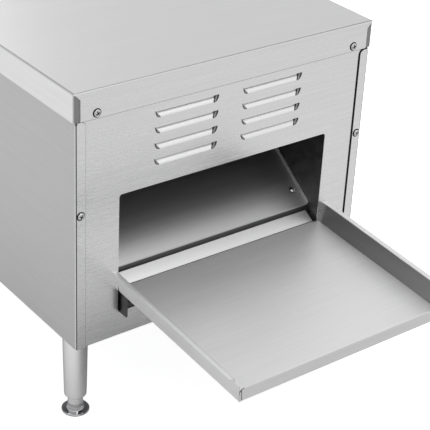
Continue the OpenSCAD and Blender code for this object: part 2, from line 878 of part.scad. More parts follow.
// A point at the distance s round the belt, in Y-Z
function belt_point(s) =
    let (run = idler_y - drive_y, bend = PI * belt_r)
    s < run ? [drive_y + s, run_top]
    : s < run + bend ? [idler_y + belt_r * sin((s - run) / bend * 180),
        belt_z + belt_r * cos((s - run) / bend * 180)]
    : s < 2 * run + bend ? [idler_y - (s - run - bend), run_bottom]
    : [drive_y - belt_r * sin((s - 2 * run - bend) / bend * 180),
        belt_z - belt_r * cos((s - 2 * run - bend) / bend * 180)];

module conveyor_belt() {
    rods = floor(belt_len / rod_pitch);
    strands = [-1, -0.5, 0, 0.5, 1] * (belt_w / 2 - strand_w / 2 - 1);
    color("silver") in_body() {
        for (x = strands) side_on(x - strand_w / 2, strand_w) difference() {
            belt_outline(belt_r + strand_h / 2);
            belt_outline(belt_r - strand_h / 2);
        }
        for (i = [0 : rods - 1]) {
            at = belt_point(i * belt_len / rods);
            rod_x([-belt_w / 2, at[0], at[1]], belt_w, rod_d / 2);
        }
    }
}

module drive_shaft() {
    start = chain_x - 7;
    color("silver") in_body() rod_x([start, drive_y, belt_z], chamber_x + 6 - start, shaft_d / 2);
}
module idler_shaft() {
    half = chamber_x + 6;
    color("silver") in_body() rod_x([-half, idler_y, belt_z], 2 * half, shaft_d / 2);
}

// A wheel on the X axis with round notches, a hub and a bore
module sprocket(r, teeth, w, hub_r, hub_w) {
    difference() {
        union() {
            rod_x([-w / 2, 0, 0], w, r);
            rod_x([-hub_w / 2, 0, 0], hub_w, hub_r);
        }
        for (i = [0 : teeth - 1]) rotate([i * 360 / teeth, 0, 0])
            rod_x([-w / 2 - 1, r + 0.6, 0], w + 2, r * sin(180 / teeth) * 0.55);
        rod_x([-hub_w / 2 - 1, 0, 0], hub_w + 2, shaft_d / 2 + 0.02);
    }
}

module belt_sprockets(y) {
    wheel_inset = 32;
    wheel_w = 5;
    wheel_teeth = 9;
    hub_w = 12;
    hub_t = 3.5;
    spread = belt_w / 2 - wheel_inset;
    color("gray") in_body() for (x = [-spread, 0, spread])
        translate([x, y, belt_z]) sprocket(belt_reach, wheel_teeth, wheel_w, shaft_d / 2 + hub_t, hub_w);
}
module drive_belt_sprockets() { belt_sprockets(drive_y); }
module idler_belt_sprockets() { belt_sprockets(idler_y); }

module shaft_bushes() {
    bush_l = 8;
    rim_l = 2;
    rim_t = 5;
    start = chamber_x - rim_l - seam;
    color("goldenrod") in_body() shaft_places() both_sides() difference() {
        union() {
            rod_x([start, 0, 0], bush_l, shaft_d / 2 + bush_t);
            rod_x([start, 0, 0], rim_l, shaft_d / 2 + rim_t);
        }
        rod_x([start - 1, 0, 0], bush_l + 2, shaft_d / 2 + shaft_play);
    }
}

// ---- Drive ----

// The chain's path, in a frame with the motor's wheel at the origin and the shaft's along X
chain_lean = acos((motor_pitch_r - shaft_pitch_r) / chain_run);
chain_straight = chain_run * sin(chain_lean);
chain_motor_arc = motor_pitch_r * (360 - 2 * chain_lean) * PI / 180;
chain_shaft_arc = shaft_pitch_r * 2 * chain_lean * PI / 180;
chain_len = chain_motor_arc + chain_shaft_arc + 2 * chain_straight;
chain_links = round(chain_len / chain_pitch);

function on_circle(centre, r, angle) = [centre + r * cos(angle), r * sin(angle)];

// A point at the distance s round the chain, moved outwards by grow
function chain_point(s, grow) =
    let (a = s, b = a - chain_motor_arc, c = b - chain_straight, d = c - chain_shaft_arc,
        deg = 180 / PI, lean = chain_lean)
    b < 0 ? on_circle(0, motor_pitch_r + grow, lean + a / motor_pitch_r * deg)
    : c < 0 ? on_circle(0, motor_pitch_r + grow, -lean) + b * [sin(lean), cos(lean)]
    : d < 0 ? on_circle(chain_run, shaft_pitch_r + grow, -lean + c / shaft_pitch_r * deg)
    : on_circle(chain_run, shaft_pitch_r + grow, lean) + d * [-sin(lean), cos(lean)];

function chain_pins(grow) =
    [for (i = [0 : chain_links - 1]) chain_point(i * chain_len / chain_links, grow)];

module drive_chain() {
    pin_r = 1.1;
    color("dimgray") in_body() side_on(chain_x - chain_w / 2, chain_w)
        translate([motor_y, motor_z]) rotate(chain_angle) difference() {
            polygon(chain_pins(chain_half));
            polygon(chain_pins(-chain_half));
        }
    color("dimgray") in_body() side_on(chain_x - chain_w / 2 - 1, chain_w + 2)
        translate([motor_y, motor_z]) rotate(chain_angle)
            for (pin = chain_pins(0)) translate(pin) circle(pin_r);
}

module shaft_sprocket() {
    color("gray") in_body() translate([chain_x, drive_y, belt_z])
        sprocket(shaft_pitch_r - chain_half - chain_gap, shaft_teeth, sprocket_w, shaft_d / 2 + 4, 9);
}
module motor_sprocket() {
    color("gray") in_body() translate([chain_x, motor_y, motor_z])
        sprocket(motor_pitch_r - chain_half - chain_gap, motor_teeth, sprocket_w, shaft_d / 2 + 3, 9);
}

module motor_shaft() {
    start = chain_x - 7;
    color("silver") in_body() rod_x([start, motor_y, motor_z], motor_face + 20 - start, shaft_d / 2);
}

module gear_motor() {
    color("darkslategray") in_body() translate([0, motor_y, motor_z]) difference() {
        union() {
            block([motor_face, -gearbox_w / 2, -gearbox_w / 2], [gearbox_l, gearbox_w, gearbox_w]);
            rod_x([motor_face + gearbox_l, 0, 0], motor_can_l, gearbox_w / 2 - 2);
        }
        rod_x([motor_face - 1, 0, 0], 22, shaft_d / 2 + shaft_play);
        motor_screw_places() rod_x([motor_face - 1, 0, 0], 9, hole_r);
    }
}

module motor_screw_places() {
    for (y = [-motor_screw, motor_screw], z = [-motor_screw, motor_screw])
        translate([0, y, z]) children();
}

module motor_foot_places() {
    for (y = [-1, 1]) translate([motor_face + bracket_foot - 9, motor_y + y * (gearbox_w / 2 - 9), 0])
        children();
}

module motor_bracket() {
    low = chamber_z0;
    plate_x = motor_face - bracket_t;
    color("silver") in_body() difference() {
        union() {
            block([plate_x, motor_y - gearbox_w / 2, low],
                [bracket_t, gearbox_w, motor_z + gearbox_w / 2 - low]);
            block([plate_x, motor_y - gearbox_w / 2, low], [bracket_foot, gearbox_w, bracket_t]);
        }
        rod_x([plate_x - 1, motor_y, motor_z], bracket_t + 2, shaft_d / 2 + 6);
        translate([0, motor_y, motor_z]) motor_screw_places() rod_x([plate_x - 1, 0, 0], 4, hole_r);
        motor_foot_places() rod_z([0, 0, 0], 6, hole_r);
    }
}

module fan_corners() {
    for (x = [-fan_hole, fan_hole], y = [-fan_hole, fan_hole])
        translate([fan_x + x, fan_y + y, 0]) children();
}

module fan_frame() {
    hub_t = 4;
    color("dimgray") in_body() difference() {
        union() {
            difference() {
                block([fan_x - fan_w / 2, fan_y - fan_w / 2, chamber_z0], [fan_w, fan_w, fan_h]);
                rod_z([fan_x, fan_y, chamber_z0 - 1], fan_h + 2, fan_bore);
            }
            rod_z([fan_x, fan_y, chamber_z0], hub_t, fan_hub);
            for (turn = [45, 135]) translate([fan_x, fan_y, chamber_z0]) rotate([0, 0, turn])
                translate([-fan_bore - 1, -2.5, 0]) cube([2 * fan_bore + 2, 5, 2.5]);
        }
        rod_z([fan_x, fan_y, chamber_z0 + 1], fan_h, 1.5 + shaft_play);
        fan_corners() rod_z([0, 0, 0], fan_h + 5, hole_r);
    }
}

module fan_impeller() {
    blade_r = fan_bore - 1.5;
    low = chamber_z0 + 5;
    height = fan_h - 8;
    color("black") in_body() translate([fan_x, fan_y, low]) {
        rod_z([0, 0, -3.7], 6, 1.5);
        cylinder(h = height, r = fan_hub);
        intersection() {
            difference() {
                cylinder(h = height, r = blade_r);
                translate([0, 0, -1]) cylinder(h = height + 2, r = fan_hub - 1);
            }
            for (i = [0 : 6]) rotate([0, 0, i * 360 / 7]) translate([fan_hub - 2, 0, height / 2])
                rotate([40, 0, 0]) translate([0, -height, -0.75]) cube([fan_bore, 2 * height, 1.5]);
        }
    }
}

// ---- Electrics ----

module terminal_block() {
    ways = 5;
    way = 9;
    depth = 18;
    height = 16;
    well_r = 2.4;
    well_h = 9.2;
    well_inset = 5;
    x0 = chamber_x + 22;
    z0 = chamber_z0 - seam;
    color("ivory") in_body() difference() {
        block([x0, block_y, z0], [depth, ways * way, height]);
        for (i = [0 : ways - 1], x = [x0 + well_inset, x0 + depth - well_inset])
            rod_z([x, block_y + (i + 0.5) * way, z0 + height - well_h], well_h + 1, well_r);
    }
}

module speed_board() {
    board_t = 1.6;
    board_l = 60;
    board_h = 50;
    board_y = fan_y - board_l / 2;
    board_z = motor_z + 24;
    post_l = 6;
    post_r = 3;
    inset = 5;
    relay = [14, 16, 12];
    relay_at = [12, 14];
    capacitor_r = 6;
    capacitor_l = 13;
    capacitor_at = [44, 18];
    strip = [9, 34, 8];
    strip_at = [14, 34];
    board_x = chamber_x + sheet_t + post_l;
    color("darkgreen") in_body() mirror([1, 0, 0]) {
        block([board_x, board_y, board_z], [board_t, board_l, board_h]);
        for (y = [inset, board_l - inset], z = [inset, board_h - inset])
            rod_x([chamber_x + sheet_t, board_y + y, board_z + z], post_l + board_t / 3, post_r);
        block([board_x, board_y + relay_at[0], board_z + relay_at[1]], relay);
        rod_x([board_x, board_y + capacitor_at[0], board_z + capacitor_at[1]], capacitor_l, capacitor_r);
        block([board_x, board_y + strip_at[0], board_z + strip_at[1]], strip);
    }
}

module thermal_cutout() {
    after_element = 27.5;
    at_y = drive_y + 2 * (idler_y - drive_y) / (tube_count + 1) + after_element;
    at_z = reflector_z + 2;
    out = chamber_x + sheet_t;
    color("whitesmoke") in_body() mirror([1, 0, 0]) translate([out, at_y, at_z]) {
        rod_x([0, 0, 0], 8, 8);
        block([0, -13, -4], [1, 26, 8]);
        for (y = [-4, 4]) block([7, y - 0.4, -3], [9, 0.8, 6]);
    }
}

// The bushing of a rotary control: through both panels, with a nut outside and a bore
module control_bushing(z, body_len) {
    inside = feed_face - sheet_t;
    difference() {
        union() {
            children();
            rod_y([control_x, inside - 1, z], control_face + 4.4 - inside, bushing_r);
            translate([control_x, control_face, z]) rotate([-90, 0, 0])
                cylinder(h = 2.2, r = 6.8, $fn = 6);
        }
        rod_y([control_x, inside - body_len + 3, z], body_len + 20, spindle_r + shaft_play);
    }
}

module speed_potentiometer() {
    body_len = 12;
    inside = feed_face - sheet_t;
    color("gray") in_body() control_bushing(speed_z, body_len)
        rod_y([control_x, inside - body_len, speed_z], body_len, control_w / 2 - 5);
}
module heat_selector() {
    body_len = 24;
    body_w = control_w - 6;
    inside = feed_face - sheet_t;
    color("ivory") in_body() control_bushing(heat_z, body_len)
        block([control_x - body_w / 2, inside - body_len, heat_z - body_w / 2], [body_w, body_len, body_w]);
}

// A knob with a skirt, a waisted grip, a pointer rib and its spindle
module knob(z) {
    seat = 0.6;
    skirt = 3;
    grip_h = 15;
    grip_r = knob_d / 2 - 4.5;
    color("black") in_body() translate([control_x, control_face + seat, z]) rotate([-90, 0, 0]) {
        difference() {
            union() {
                cylinder(h = skirt, r = knob_d / 2);
                cylinder(h = grip_h, r1 = grip_r + 0.8, r2 = grip_r);
                translate([-1.5, -grip_r - 1.6, 0]) cube([3, grip_r, grip_h + 0.8]);
            }
            translate([0, 0, -1]) cylinder(h = 6, r = 8);
        }
        translate([0, 0, -11]) cylinder(h = 19, r = spindle_r);
    }
}
module speed_knob() { knob(speed_z); }
module heat_knob() { knob(heat_z); }

module power_switch_body() {
    body_len = 20;
    bezel_h = switch_h + 3;
    bezel_w = switch_w + 2;
    color("black") in_body() translate([control_x, 0, rocker_z]) difference() {
        union() {
            block([-switch_w / 2, feed_face - body_len, -switch_h / 2],
                [switch_w, body_len + control_t, switch_h]);
            block([-bezel_w / 2, control_face, -bezel_h / 2], [bezel_w, 2, bezel_h]);
            for (z = [-6, 0, 6]) block([-0.4, feed_face - body_len - 7, z - 2.4], [0.8, 8, 4.8]);
        }
        rod_x([-5.5, rocker_y, 0], 11, rocker_r + play);
        rod_x([-6.2, rocker_y, 0], 12.4, 1 + shaft_play);
    }
}

module power_rocker() {
    rise = rocker_r * tan(rocker_tilt);
    color("black") in_body() translate([control_x, rocker_y, rocker_z]) rotate([-rocker_tilt, 0, 0]) {
        side_on(-5.2, 10.4) intersection() {
            circle(rocker_r);
            polygon([[-3.5, -rocker_r], [2.4 + rise, -rocker_r], [2.4, 0], [2.4 + rise, rocker_r],
                [-3.5, rocker_r]]);
        }
        rod_x([-6, 0, 0], 12, 1);
    }
}

module indicator_lamps() {
    color("orangered") in_body() for (z = lamp_z) translate([control_x, 0, z]) {
        rod_y([0, feed_face - 18, 0], 18 + control_t, 4);
        rod_y([0, control_face, 0], 1.6, 6);
        rod_y([0, control_face, 0], 4, 4.4);
    }
}

module cable_gland() {
    color("black") in_body() translate([gland_x, 0, gland_z]) difference() {
        union() {
            rod_y([0, -5, 0], 22, gland_r);
            translate([0, panel_y, 0]) rotate([90, 0, 0]) cylinder(h = 4, r = gland_r + 3, $fn = 6);
            translate([0, panel_back, 0]) rotate([-90, 0, 0]) cylinder(h = 4, r = gland_r + 3, $fn = 6);
        }
        rod_y([0, -6, 0], 25, 3.6);
    }
}

// ---- Feed side ----

// The rack's own frame: the pivot is the origin, and y runs up the slope
module on_rack() {
    translate([0, pivot_y, pivot_z]) rotate([rack_slope, 0, 0]) children();
}

module feed_rack() {
    wire_r = wire_d / 2;
    cross_r = rack_pivot_r;
    bar_r = wire_r * 0.7;
    stop_h = 10;
    bars = 7;
    prop_at = rack_len * 0.45;
    prop_y = feed_face + play + wire_r;
    prop_z = slot_z - 19;
    rise = pivot_z + prop_at * sin(rack_slope) - prop_z;
    reach = pivot_y + prop_at * cos(rack_slope) - prop_y;
    color("lightgray") in_body() {
        on_rack() {
            rod_x([-rack_x, 0, 0], 2 * rack_x, cross_r);
            for (y = [rack_len * 0.5, rack_len]) rod_x([-rack_x, y, 0], 2 * rack_x, cross_r);
            rod_x([-rack_x - wire_r, rack_len, stop_h], 2 * (rack_x + wire_r), cross_r);
            both_sides() {
                rod_y([rack_x, -wire_r, 0], rack_len + 2 * wire_r, wire_r);
                rod_z([rack_x, rack_len, 0], stop_h + wire_r, wire_r - 0.15);
            }
            for (i = [1 : bars]) {
                x = -rack_x + i * 2 * rack_x / (bars + 1);
                rod_y([x, -cross_r, cross_r], rack_len + cross_r, bar_r);
                rod_z([x, rack_len, cross_r], stop_h - cross_r, bar_r - 0.1);
            }
        }
        both_sides() translate([rack_x, prop_y, prop_z])
            rotate([-90 + atan2(rise, reach), 0, 0]) cylinder(h = norm([rise, reach]), r = wire_r - 0.1);
    }
}

module bracket_screw_places() {
    both_sides() translate([bracket_x - 7, 0, slot_z - 9]) children();
}

module rack_brackets() {
    t = 2;
    ear_r = 5;
    base_z = slot_z - bracket_base_h - 1;
    color("silver") in_body() difference() {
        both_sides() {
            block([bracket_x - 14, feed_face, base_z], [14, t, bracket_base_h]);
            side_on(bracket_x - t, t) {
                translate([pivot_y, pivot_z]) circle(ear_r);
                polygon([[feed_face, base_z], [feed_face, base_z + bracket_base_h],
                    [pivot_y - ear_r, pivot_z], [pivot_y + ear_r, pivot_z], [feed_face + 4, base_z]]);
            }
        }
        rod_x([-bracket_x - 1, pivot_y, pivot_z], 2 * bracket_x + 2, rack_pivot_r + 0.08);
        bracket_screw_places() rod_y([0, feed_face - 1, 0], t + 2, hole_r);
    }
}

module crumb_tray() {
    fascia_y = feed_face + play;
    fascia_x = crumb_x + 4;
    fascia_z = crumb_z - 8;
    pull_w = 84;
    pull_out = 16;
    pull_h = 5;
    t = 1;
    color("lightgray") in_body() {
        difference() {
            block([-crumb_x, crumb_y0, crumb_z], [2 * crumb_x, fascia_y - crumb_y0, crumb_h]);
            block([-crumb_x + t, crumb_y0 + t, crumb_z + t],
                [2 * crumb_x - 2 * t, fascia_y - crumb_y0, crumb_h]);
        }
        block([-fascia_x, fascia_y, fascia_z], [2 * fascia_x, t, crumb_h + 12]);
        block([-pull_w / 2, fascia_y, fascia_z], [pull_w, pull_out, t]);
        block([-pull_w / 2, fascia_y + pull_out - t, fascia_z], [pull_w, t, pull_h]);
    }
}

module crumb_tray_runners() {
    leg_w = 13;
    top_z = crumb_z - play;
    len = chamber_y1 - crumb_y0 - 6;
    color("silver") in_body() both_sides() {
        block([inner_x - leg_w, crumb_y0, top_z - sheet_t], [leg_w, len, sheet_t]);
        block([inner_x - sheet_t, crumb_y0, top_z - leg_w], [sheet_t, len, leg_w]);
    }
}

// ---- Fasteners ----

module panel_screws() {
    color("gray") in_body() {
        both_ends() both_sides() screw_to_discharge([cover_screw_x, 0, cover_screw_z], 7);
        both_ends() both_sides() screw_to_discharge([flange_screw_x, flange_set, flange_screw_z], 7);
        both_sides() base_screw_places() translate([side_x, 0, 0]) rotate([0, 90, 0]) screw(6);
    }
}

module machine_screws() {
    color("gray") in_body() {
        control_screw_places() screw_to_feed([0, control_face, 0], 6);
        bracket_screw_places() screw_to_feed([0, feed_face + 2, 0], 5);
        fan_corners() translate([0, 0, chamber_z0 + fan_h]) screw(fan_h + 4);
        motor_foot_places() translate([0, 0, chamber_z0 + bracket_t]) screw(6);
        translate([motor_face - bracket_t, motor_y, motor_z]) motor_screw_places()
            rotate([0, -90, 0]) screw(8);
    }
}

top_cover();
left_side_panel();
right_side_panel();
discharge_panel();
feed_panel();
control_panel();
base_plate();
leg_discharge_left();
leg_discharge_right();
leg_feed_left();
leg_feed_right();
foot_discharge_left();
foot_discharge_right();
foot_feed_left();
foot_feed_right();
leg_nuts();
toast_tray();
toast_chute();
chute_brackets();
chute_screws();
chamber_left_wall();
chamber_right_wall();
chamber_floor();
upper_reflector();
lower_reflector();
upper_elements();
lower_elements();
element_insulators();
toast_deflector();
conveyor_belt();
drive_shaft();
idler_shaft();
drive_belt_sprockets();
idler_belt_sprockets();
shaft_bushes();
shaft_sprocket();
drive_chain();
gear_motor();
motor_bracket();
motor_shaft();
motor_sprocket();
fan_frame();
fan_impeller();
terminal_block();
speed_board();
thermal_cutout();
speed_knob();
heat_knob();
speed_potentiometer();
heat_selector();
power_rocker();
power_switch_body();
indicator_lamps();
feed_rack();
rack_brackets();
crumb_tray();
crumb_tray_runners();
cable_gland();
panel_screws();
machine_screws();
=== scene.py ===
"""Dresses a conveyor toaster: folded sheet steel, a hooked-on tray, bullet feet and a wire rack."""

import json
import logging
import math
from dataclasses import dataclass, field
from enum import Enum
from typing import Any, Callable, Iterable, Sequence

import bmesh
import bpy
from bmesh.types import BMEdge, BMFace, BMVert
from mathutils import Matrix, Vector


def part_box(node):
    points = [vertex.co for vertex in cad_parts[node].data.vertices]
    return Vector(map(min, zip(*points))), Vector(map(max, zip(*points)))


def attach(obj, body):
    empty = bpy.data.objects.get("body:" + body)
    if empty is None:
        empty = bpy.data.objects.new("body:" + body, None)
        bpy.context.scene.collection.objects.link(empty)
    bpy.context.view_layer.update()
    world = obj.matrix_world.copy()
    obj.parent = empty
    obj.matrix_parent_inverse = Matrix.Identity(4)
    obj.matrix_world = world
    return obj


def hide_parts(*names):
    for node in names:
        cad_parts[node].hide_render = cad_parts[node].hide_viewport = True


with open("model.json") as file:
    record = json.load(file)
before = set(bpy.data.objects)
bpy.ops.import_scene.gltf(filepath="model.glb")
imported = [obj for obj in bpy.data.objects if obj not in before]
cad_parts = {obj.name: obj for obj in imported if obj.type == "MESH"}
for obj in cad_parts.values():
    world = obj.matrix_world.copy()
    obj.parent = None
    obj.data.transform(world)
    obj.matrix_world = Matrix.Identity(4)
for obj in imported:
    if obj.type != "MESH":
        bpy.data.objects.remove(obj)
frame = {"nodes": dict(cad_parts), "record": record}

MM = 0.001
TOUCH = 0.001 * MM  # places closer than this are one
CLEAR = 0.01 * MM  # a face whose middle is this near a plane lies in it
SLACK = 0.1 * MM  # the same, for faces beside a bend
X_AXIS = Vector((1, 0, 0))
Y_AXIS = Vector((0, 1, 0))
Z_AXIS = Vector((0, 0, 1))
ZERO = Vector((0, 0, 0))
SIDES = (-1, 1)
LINE_HEIGHT = 0.06 * MM
LOG = logging.getLogger("toaster")


# ---- Shader maths ----


class Value:
    """A number on a shader socket, which takes part in Python expressions."""

    def __init__(self, board: "Board", socket: bpy.types.NodeSocket) -> None:
        """Wraps one output socket of a board."""
        self.board = board
        self.socket = socket

    def _math(self, operation: str, *terms: "Value | float") -> "Value":
        """Adds one Math node."""
        node = self.board.add("ShaderNodeMath", {"operation": operation}, *terms)
        return Value(self.board, node.outputs[0])

    def __add__(self, other: "Value | float") -> "Value":
        """Self plus other."""
        return self._math("ADD", self, other)

    def __radd__(self, other: float) -> "Value":
        """Other plus self."""
        return self._math("ADD", other, self)

    def __sub__(self, other: "Value | float") -> "Value":
        """Self minus other."""
        return self._math("SUBTRACT", self, other)

    def __rsub__(self, other: float) -> "Value":
        """Other minus self."""
        return self._math("SUBTRACT", other, self)

    def __mul__(self, other: "Value | float") -> "Value":
        """Self times other."""
        return self._math("MULTIPLY", self, other)

    def __rmul__(self, other: float) -> "Value":
        """Other times self."""
        return self._math("MULTIPLY", other, self)

    def __gt__(self, other: "Value | float") -> "Value":
        """One where self is the greater, else zero."""
        return self._math("GREATER_THAN", self, other)

    def __abs__(self) -> "Value":
        """Self without its sign."""
        return self._math("ABSOLUTE", self)

    def clamped(self) -> "Value":
        """Self, held between zero and one."""
        return self._math("MINIMUM", self._math("MAXIMUM", self, 0.0), 1.0)


Colour = tuple[float, float, float]


class Board:
    """The node tree of one material or of the world."""

    def __init__(self, tree: bpy.types.NodeTree) -> None:
        """Starts from an emptied tree."""
        self.tree = tree
        tree.nodes.clear()

    def add(self, kind: str, settings: dict[str, Any] | None = None, *values: Any,
            **named: Any) -> bpy.types.Node:
        """Adds a node.

        Args:
            kind: The node's type.
            settings: Properties that are set before the sockets are filled.
            values: What goes into the first sockets, in order. None leaves a socket alone.
            named: What goes into sockets by name, with _ for a space.

        Returns:
            The node.
        """
        node = self.tree.nodes.new(kind)
        for name, value in (settings or {}).items():
            setattr(node, name, value)
        for socket, value in zip(node.inputs, values):
            self.fill(socket, value)
        for name, value in named.items():
            self.fill(node.inputs[name.replace("_", " ")], value)
        return node

    def fill(self, socket: bpy.types.NodeSocket, value: Any) -> None:
        """Links or sets one socket.

        Args:
            socket: The socket.
            value: A socket to link, or what to set. None leaves it alone.
        """
        if value is None:
            return
        if isinstance(value, Value):
            self.tree.links.new(value.socket, socket)
        elif isinstance(value, bpy.types.NodeSocket):
            self.tree.links.new(value, socket)
        elif socket.type == "RGBA" and len(value) == 3:
            socket.default_value = (*value, 1)
        else:
            socket.default_value = value

    def blend(self, share: Value | float, first: Any, second: Any) -> bpy.types.NodeSocket:
        """Mixes two colours.

        Args:
            share: How much of the second is in the mix.
            first: The first colour, or its socket.
            second: The second colour, or its socket.

        Returns:
            The mix's socket.
        """
        node = self.add("ShaderNodeMix", {"data_type": "RGBA"})
        self.fill(node.inputs["Factor"], share)
        self.fill(node.inputs[6], first)
        self.fill(node.inputs[7], second)
        return node.outputs[2]

    def noise(self, place: Any, scale: Sequence[float], detail: float = 2.0) -> Value:
        """A noise, stretched along each axis of the object.

        Args:
            place: The coordinates' socket.
            scale: Cycles a metre along X, Y and Z.
            detail: Octaves.

        Returns:
            The noise, about 0 to 1.
        """
        stretched = self.add("ShaderNodeMapping", {"vector_type": "POINT"}, place, Scale=tuple(scale))
        node = self.add("ShaderNodeTexNoise", None, Vector=stretched.outputs[0], Scale=1.0, Detail=detail)
        return Value(self, node.outputs[0])


class Grain(Enum):
    """The way that a sheet was brushed."""

    ALONG_X = "x"
    LEVEL = "level"


@dataclass(frozen=True)
class Finish:
    """What every finish has: a name, a colour and a roughness."""

    name: str
    tone: Colour
    roughness: float = 0.35
    metallic: float = 1.0

    def shade(self, board: Board, shader: bpy.types.Node, place: bpy.types.NodeSocket) -> None:
        """Adds the finish's own detail.

        Args:
            board: The material's board.
            shader: The Principled shader.
            place: The object coordinates' socket.
        """
        raise NotImplementedError

    def tint(self, board: Board, shader: bpy.types.Node, share: Value, by: float) -> None:
        """Lets a pattern vary the colour.

        Args:
            board: The material's board.
            shader: The Principled shader.
            share: The pattern, about 0 to 1.
            by: Change of colour from the pattern's one end to the other, as a share.
        """
        dark = tuple(c * (1 - by / 2) for c in self.tone)
        light = tuple(min(1.0, c * (1 + by / 2)) for c in self.tone)
        board.fill(shader.inputs["Base Color"], board.blend(share, dark, light))

    def spread(self, board: Board, shader: bpy.types.Node, share: Value, tone_by: float,
               rough_by: float) -> None:
        """Lets a pattern vary the colour and the roughness.

        Args:
            board: The material's board.
            shader: The Principled shader.
            share: The pattern, about 0 to 1.
            tone_by: Change of colour, as a share.
            rough_by: Change of roughness.
        """
        self.tint(board, shader, share, tone_by)
        board.fill(shader.inputs["Roughness"], self.roughness + (share - 0.5) * rough_by)

    def bump(self, board: Board, shader: bpy.types.Node, height: Value, depth: float,
             strength: float) -> None:
        """Raises a pattern as a bump of a real depth in metres."""
        node = board.add("ShaderNodeBump", None, Strength=strength, Distance=depth, Height=height)
        board.fill(shader.inputs["Normal"], node.outputs[0])

    def constants(self, shader: bpy.types.Node) -> None:
        """Sets what is the same all over the surface."""
        shader.inputs["Metallic"].default_value = self.metallic

    def make(self) -> bpy.types.Material:
        """Builds the material.

        Returns:
            The material.
        """
        material = bpy.data.materials.new(self.name)
        material.use_nodes = True
        board = Board(material.node_tree)
        out = board.add("ShaderNodeOutputMaterial")
        shader = board.add("ShaderNodeBsdfPrincipled")
        board.tree.links.new(shader.outputs[0], out.inputs["Surface"])
        self.constants(shader)
        place = board.add("ShaderNodeTexCoord").outputs["Object"]
        self.shade(board, shader, place)
        return material


@dataclass(frozen=True)
class BrushedSteel(Finish):
    """Stainless sheet with a line grain."""

    grain: Grain = Grain.LEVEL
    contrast: float = 0.12
    depth: float = 0.02 * MM
    smudges: float = 0.05
    fine: tuple[float, float] = (14, 900)
    coarse: tuple[float, float] = (6, 240)
    fine_share: float = 0.65
    crispness: float = 1.8
    rough_lines: float = 0.14

    def shade(self, board: Board, shader: bpy.types.Node, place: bpy.types.NodeSocket) -> None:
        """Draws the grain as fine and coarse streaks, with faint smudges over them.

        Args:
            board: The material's board.
            shader: The Principled shader.
            place: The object coordinates' socket.
        """
        fine = self.streaks(board, place, *self.fine)
        coarse = self.streaks(board, place, *self.coarse)
        line = fine * self.fine_share + coarse * (1 - self.fine_share)
        smudge = board.noise(place, (9, 9, 9), 3)
        self.tint(board, shader, ((line - 0.5) * self.crispness + 0.5).clamped(), self.contrast)
        rough = self.roughness + (line - 0.5) * self.rough_lines + (smudge - 0.5) * self.smudges
        board.fill(shader.inputs["Roughness"], rough)
        self.bump(board, shader, fine, self.depth, 0.35)

    def streaks(self, board: Board, place: Any, along: float, across: float) -> Value:
        """Noise that is long along the grain and short across it.

        Args:
            board: The material's board.
            place: The object coordinates' socket.
            along: Cycles a metre along the grain.
            across: Cycles a metre across it.

        Returns:
            The noise, about 0 to 1.
        """
        on_ends = board.noise(place, (along, across, across), 3)
        if self.grain is Grain.ALONG_X:
            return on_ends
        normal = board.add("ShaderNodeNewGeometry").outputs["Normal"]
        parts = board.add("ShaderNodeSeparateXYZ", None, normal)
        faces_side = abs(Value(board, parts.outputs[0])) > 0.7
        on_sides = board.noise(place, (across, along, across), 3)
        return on_ends * (1 - faces_side) + on_sides * faces_side


@dataclass(frozen=True)
class Bright(Finish):
    """Chrome or turned metal, with faint haze."""

    haze: float = 0.06

    def shade(self, board: Board, shader: bpy.types.Node, place: bpy.types.NodeSocket) -> None:
        """Adds haze and rings too fine to see one by one."""
        self.spread(board, shader, board.noise(place, (60, 60, 500), 3), 0.06, self.haze)


@dataclass(frozen=True)
class Zinc(Finish):
    """Galvanised sheet with its spangle."""

    spangle: float = 140.0

    def shade(self, board: Board, shader: bpy.types.Node, place: bpy.types.NodeSocket) -> None:
        """Draws the crystals as cells of slightly different grey.

        Args:
            board: The material's board.
            shader: The Principled shader.
            place: The object coordinates' socket.
        """
        cells = board.add("ShaderNodeTexVoronoi", {"feature": "F1"}, Vector=place, Scale=self.spangle)
        parts = board.add("ShaderNodeSeparateColor", None, cells.outputs["Color"])
        grey = Value(board, parts.outputs[0])
        self.spread(board, shader, grey, 0.22, 0.16)


@dataclass(frozen=True)
class Moulded(Finish):
    """A moulded plastic or ceramic with a fine skin."""

    metallic: float = 0.0
    skin: float = 1800.0
    depth: float = 0.03 * MM
    sheen: float = 0.5

    def shade(self, board: Board, shader: bpy.types.Node, place: bpy.types.NodeSocket) -> None:
        """Adds spark-eroded texture and slight unevenness."""
        self.spread(board, shader, board.noise(place, (40, 40, 40), 4), 0.12, 0.10)
        self.bump(board, shader, board.noise(place, (self.skin,) * 3, 2), self.depth, 0.3)

    def constants(self, shader: bpy.types.Node) -> None:
        """Sets the gloss."""
        super().constants(shader)
        shader.inputs["Specular IOR Level"].default_value = self.sheen


@dataclass(frozen=True)
class Glassy(Moulded):
    """Milky quartz or a tinted lens."""

    clear: float = 0.5

    def constants(self, shader: bpy.types.Node) -> None:
        """Lets light through."""
        super().constants(shader)
        shader.inputs["Transmission Weight"].default_value = self.clear
        shader.inputs["IOR"].default_value = 1.46


